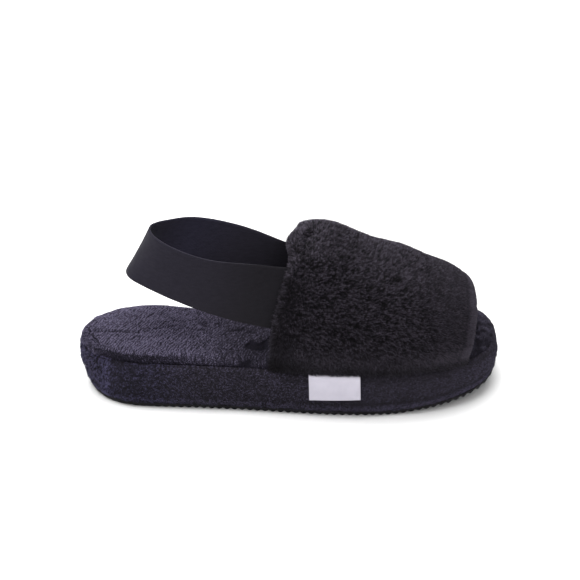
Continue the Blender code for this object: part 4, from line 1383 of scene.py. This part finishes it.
def make_pile():
    """Short dense plush over the padded wall. Hairs stand, lean with the lie of the pile
    and draw together into small tufts."""
    normals = grid_normals(VAMP_GRID)
    if normals[VAMP_ROWS // 2, VAMP_COLUMNS // 2, 2] < 0:
        normals = -normals
    root, normal, row, column = scatter(VAMP_GRID, normals, 7.0)
    n = len(root)
    share = np.interp(row, np.arange(VAMP_ROWS), VAMP_RIM[:, 0])
    out = np.interp(row, np.arange(VAMP_ROWS), VAMP_RIM[:, 1])
    over = np.interp(column, np.arange(VAMP_COLUMNS), VAMP_OVER)
    angle = np.interp(column, np.arange(VAMP_COLUMNS), VAMP_ANGLES)
    i = np.clip(row.astype(int), 0, VAMP_ROWS - 2)
    j = np.clip(column.astype(int), 0, VAMP_COLUMNS - 2)
    forward = VAMP_GRID[i + 1, j] - VAMP_GRID[i, j]
    forward = unit(forward - normal * (forward * normal).sum(1)[:, None])
    around = np.cross(normal, forward)
    if (around[:, 1] * (np.abs(normal[:, 2]) > 0.8)).sum() < 0:
        around = -around
    a = np.interp(row, np.arange(VAMP_ROWS), np.concatenate(
        [[0.0], np.cumsum(np.linalg.norm(np.diff(VAMP_RIM * [VAMP_LENGTH, 5.0], axis=0), axis=1))]
    ))
    e = 0.2
    tuft = pile_tufts(a, over)
    pull_o = (pile_tufts(a, over + e) - pile_tufts(a, over - e)) / (2 * e)
    pull_a = (pile_tufts(a + e, over) - pile_tufts(a - e, over)) / (2 * e)
    # the lie: towards the toe, standing up at the rear rim and turned back under it
    rear = smoothstep((0.09 - share) / 0.12)
    under = smoothstep((0.02 - share) / 0.03)
    lateral = np.tanh((PILE_CROWN - over) / 15.0)
    foot = np.minimum(angle, np.pi - angle)
    hang = 0.8 * smoothstep((0.3 - foot) / 0.3)
    turn = 0.5 * noise(root, 7.0, 75) + 0.5 * noise(root, 2.6, 76) + RNG.normal(0, 0.6, n)
    lie_f = (1.0 - 0.9 * rear - 0.9 * under) * np.cos(turn)
    lie_o = lateral * (pile_lean(a) * (1 - hang) - hang) + np.sin(turn)
    lie = unit(forward * lie_f[:, None] + around * lie_o[:, None])
    tall = PLUSH * (0.92 + 0.20 * tuft + RNG.normal(0, 0.07, n)) * (0.5 + 0.5 * foot_fill(angle))
    tall = np.clip(tall * (0.7 + 0.3 * smoothstep(out / 0.5)), 0.8, 3.2)
    _, marks, stand = vamp_folds_and_painted_light(share, angle)
    tall = tall * stand
    # the rear edge is loose, its hairs of uneven length over the strap
    loose = smoothstep((0.015 - share) / 0.03) * smoothstep((66.0 - np.degrees(angle)) / 12.0)
    reach = RNG.uniform(0.5, 1.5, n) * stand + RNG.uniform(0.3, 1.7, n) * smoothstep((0.14 - foot) / 0.12)
    back = loose * np.clip(RNG.normal(0.6, 0.9, n) + 1.4 * noise(flat(over, over * 0 + 7.5), (2.6, 1.0, 1.0), 83), 0.0, 3.0)
    gather = around * np.clip(pull_o * 0.3, -0.6, 0.6)[:, None] + forward * np.clip(pull_a * 0.3, -0.6, 0.6)[:, None]
    tip = root + normal * tall[:, None] + lie * reach[:, None] - forward * back[:, None] + gather + RNG.normal(0, 0.08, (n, 3))
    side = unit(forward + around * RNG.normal(0, 1.0, n)[:, None])
    # quieter along the loose rear edge, low down and at the front; darkest along the foot, where the pile meets the
    # wall: painted shade
    soft = smoothstep((0.17 - share) / 0.14) * smoothstep((66.0 - np.degrees(angle)) / 16.0)
    quiet = np.maximum(smoothstep((a - 70.0) / 35.0), smoothstep((30.0 - over) / 26.0))
    shade = 0.37 + 0.66 * tuft * (1 - 0.5 * soft) + 0.06 * noise(root, 9.0, 77) + RNG.normal(0, 0.37, n) * (1 - 0.45 * soft) * (1 - 0.56 * quiet) + marks
    shade = shade + 0.05 * quiet + 0.10 * smoothstep((a - 70.0) / 35.0) - 0.26 * smoothstep((9.0 - over) / 7.0) - 0.07 * smoothstep((26.0 - over) / 12.0) * smoothstep((30.0 - a) / 24.0)
    # painted light: hairs on the sides, facing sideways rather than up, are lighter than those on top
    shade = shade + 0.20 * (1 - np.clip(normal[:, 2], 0, 1))
    width = RNG.uniform(0.42, 0.62, n)
    parts = np.digitize(angle, np.quantile(angle, (0.25, 0.5, 0.75)))
    for k, name in enumerate(("pile_lateral", "pile_crown_lateral", "pile_crown_medial", "pile_medial")):
        m = parts == k
        settle(
            spikes(name, root[m] - normal[m] * 0.2, tip[m], side[m], width[m], shade[m]),
            "pile",
            m_pile,
        )


make_pile()


# ================================================================ heel strap
def strap_sheet(stations_out, columns):
    shares = np.linspace(0.0, 1.0, columns)
    stations = []

    def sewn(side, low, high, reach):
        turn = np.radians(low + (high - low) * shares)
        turn = turn if side == "lateral" else np.pi - turn
        point, _, normal = vamp_frame(np.full(columns, reach), turn)
        return point - normal * 0.4

    reaches = (STRAP_SEWN, STRAP_SEWN / 2, 0.0)
    stations += [sewn(*STRAP_ENDS[0], r) for r in reaches]
    for _, *edge in STRAP_FREE:
        low_edge, high_edge = np.array(edge[:3]), np.array(edge[3:])
        middle = (low_edge + high_edge) / 2
        lean = unit(high_edge - low_edge)
        stations.append(middle + ((shares - 0.5) * STRAP_WIDTH)[:, None] * lean)
    stations += [sewn(*STRAP_ENDS[1], r) for r in reaches[::-1]]
    stations = np.array(stations)
    knots = chord_knots(stations.mean(axis=1))
    at = np.linspace(0.0, knots[-1], 900)
    flat = cubic(knots, stations.reshape(len(stations), -1), at)
    return evenly(flat, stations_out).reshape(stations_out, columns, 3)


def make_strap():
    stations, columns = 260, 27
    sheet = strap_sheet(stations, columns)
    along = unit(np.gradient(sheet, axis=0))
    across = unit(np.gradient(sheet, axis=1))
    inward = unit(np.cross(across, along))
    if inward[stations // 2, columns // 2, 0] < 0:
        inward = -inward
    w = np.linspace(0, 1, columns)
    from_edge = np.minimum(w, 1 - w) * STRAP_WIDTH
    # a slim selvedge, a shallow groove inside it and round edges
    thick = STRAP_THICK * (0.80 + 0.20 * np.sqrt(np.clip(from_edge / 1.2, 0, 1)))
    groove = 0.16 * np.exp(-(((from_edge - 2.1) / 0.5) ** 2))
    ripple_out = 0.10 * noise(sheet, 6.0, 81) + 0.05 * noise(sheet, 2.0, 82)
    outer = sheet + inward * (groove + 0.5 * (STRAP_THICK - thick))[None, :, None]
    outer = outer - inward * ripple_out[..., None]
    inner = sheet + inward * (STRAP_THICK - groove - 0.5 * (STRAP_THICK - thick))[None, :, None]
    loop = np.concatenate([outer, inner[:, ::-1]], axis=1)
    k = loop.shape[1]
    quads = grid_quads(stations, k, wrap_columns=True)
    run = np.linspace(0, 1, stations)
    v = np.concatenate([0.02 + 0.22 * w, 0.26 + 0.22 * w])
    r, c = np.meshgrid(np.arange(stations - 1), np.arange(k), indexing="ij")
    c2 = (c + 1) % k
    uv = np.stack(
        [
            np.stack([run[r], v[c]], -1),
            np.stack([run[r], np.where(c2 == 0, 0.5, v[c2])], -1),
            np.stack([run[r + 1], np.where(c2 == 0, 0.5, v[c2])], -1),
            np.stack([run[r + 1], v[c]], -1),
        ],
        2,
    ).reshape(-1, 2)
    i = np.arange(columns - 1)
    caps, cap_uv = [], []
    for start, flip in ((0, True), ((stations - 1) * k, False)):
        cap = np.stack([i, i + 1, k - 2 - i, k - 1 - i], -1) + start
        caps.append(cap[:, ::-1] if flip else cap)
        spot = np.array([[0.01, 0.6], [0.02, 0.6], [0.02, 0.61], [0.01, 0.61]])
        cap_uv.append(np.tile(spot, (columns - 1, 1)))
    quads = np.concatenate([quads, *caps])
    uv = np.concatenate([uv, *cap_uv])
    obj = mesh_object("heel_elastic", loop.reshape(-1, 3), quads, uv=uv)
    return obj


settle(make_strap(), "elastic", m_elastic, node="heel_strap")


# ================================================================ side tag
def make_tag():
    rows, columns = 30, 52
    u = np.linspace(0, 1, columns)[None] + np.zeros((rows, columns))
    v = np.linspace(0, 1, rows)[:, None] + np.zeros((rows, columns))
    # the lower edge hangs a little, the upper one sags beside its front corner
    low = LABEL_LOW + LABEL_RISE * u - 0.35 * np.sin(np.pi * u)
    high = LABEL_HIGH + 0.8 * LABEL_RISE * u - 0.9 * np.exp(-(((u - 0.80) / 0.16) ** 2)) + 0.5 * smoothstep((u - 0.93) / 0.07)
    z = low + (high - low) * v
    x = LABEL_FROM_X + 0.6 + (LABEL_WIDTH - 1.2) * u + 0.5 * (0.5 - v)
    share = np.clip((z - wall_base(x)) / (PLATFORM_TOP - wall_base(x)), 0, 1)
    y = -half_width(x, "lateral") + wall_profile(share)
    edge = np.minimum(u, 1 - u) * LABEL_WIDTH
    drop = v * (LABEL_HIGH - LABEL_LOW)
    # folded ends stand a little thicker, the lower edge lifts, the top is drawn in
    hem = 0.16 * (smoothstep((2.2 - edge) / 0.5))
    lift = 0.75 + hem + 0.5 * np.exp(-((drop / 2.5) ** 2)) * (0.7 + 0.3 * np.cos(u * 7))
    wave = 0.16 * noise(np.stack([x, y * 0, z], -1), (7.0, 1.0, 6.0), 91)
    front = np.stack([x, y - lift - 0.45 - wave, z], -1)
    back = np.stack([x, y - lift + hem - wave, z], -1)
    n = rows * columns
    ids = np.arange(n).reshape(rows, columns)
    quads = [grid_quads(rows, columns), grid_quads(rows, columns, start=n)[:, ::-1]]
    rim = np.concatenate([ids[0, :-1], ids[:-1, -1], ids[-1, :0:-1], ids[:0:-1, 0]])
    after = np.roll(rim, -1)
    quads.append(np.stack([rim, rim + n, after + n, after], -1))
    quads = np.concatenate(quads)
    place = np.stack([u, v], -1).reshape(-1, 2)
    uv_point = np.concatenate([place * 0.48 + [0.01, 0.01], place * 0.46 + [0.02, 0.02]])
    uv = uv_point[quads.ravel()]
    return mesh_object("side_tag", np.concatenate([front.reshape(-1, 3), back.reshape(-1, 3)]), quads, uv=uv)


settle(make_tag(), "tag", m_tape, node="label")

# ================================================================ floor, light, camera
def make_floor():
    mesh = bpy.data.meshes.new("floor")
    s = 6.0
    mesh.from_pydata([(-s, -s, 0), (s, -s, 0), (s, s, 0), (-s, s, 0)], [], [(0, 1, 2, 3)])
    floor = bpy.data.objects.new("floor", mesh)
    bpy.context.scene.collection.objects.link(floor)
    floor.data.materials.append(new_material("pale_floor", (0.86, 0.86, 0.86), 0.9))


make_floor()

world = bpy.data.worlds.new("studio")
world.use_nodes = True
world.node_tree.nodes["Background"].inputs["Color"].default_value = (1.0, 1.0, 1.0, 1.0)
world.node_tree.nodes["Background"].inputs["Strength"].default_value = 0.56
bpy.context.scene.world = world


def softbox(name, place, aim, size, power):
    light = bpy.data.lights.new(name, "AREA")
    light.shape = "RECTANGLE"
    light.size, light.size_y = size
    light.energy = power
    obj = bpy.data.objects.new(name, light)
    obj.location = place
    obj.rotation_euler = (Vector(aim) - Vector(place)).to_track_quat("-Z", "Y").to_euler()
    bpy.context.scene.collection.objects.link(obj)


softbox("top_softbox", (-0.30, 0.25, 1.6), (0, 0, 0), (2.0, 1.8), 64.0)
softbox("front_fill", (-0.2, -1.5, 0.95), (0, 0, 0.05), (1.4, 1.0), 9.0)

# the photograph's view: 29 degrees up, straight at the outer side
EYE_AIM = (0.0, 0.0, 30.0)
EYE_DISTANCE, EYE_RISE = 1200.0, 29.0
PIXELS_PER_MM, FRAME_PIXELS = 1.604, 580.0
AIM_PIXEL = (288.0, 337.0)


def make_camera():
    rise = math.radians(EYE_RISE)
    back = Vector((0.0, -math.cos(rise), math.sin(rise)))
    aim = (Vector(EYE_AIM) + Vector(SHIFT.tolist())) * MM
    focal = PIXELS_PER_MM * EYE_DISTANCE
    right = Vector((1.0, 0.0, 0.0))
    up = back.cross(right)
    # turn the axis so that the aim point falls on its pixel without lens shift
    x = (AIM_PIXEL[0] - FRAME_PIXELS / 2) / focal
    y = (FRAME_PIXELS / 2 - AIM_PIXEL[1]) / focal
    axis = (-back - right * x - up * y).normalized()
    camera = bpy.data.cameras.new("camera")
    camera.sensor_width = 36.0
    camera.lens = focal / FRAME_PIXELS * 36.0
    camera.clip_end = 50.0
    obj = bpy.data.objects.new("camera", camera)
    across = axis.cross(Vector((0.0, 0.0, 1.0))).normalized()
    above = across.cross(axis)
    turn = Matrix((across, above, -axis)).transposed()
    obj.matrix_world = Matrix.Translation(aim + back * EYE_DISTANCE * MM) @ turn.to_4x4()
    bpy.context.scene.collection.objects.link(obj)
    bpy.context.scene.camera = obj


make_camera()
bpy.context.scene.view_settings.view_transform = "Standard"
bpy.context.scene.view_settings.look = "None"
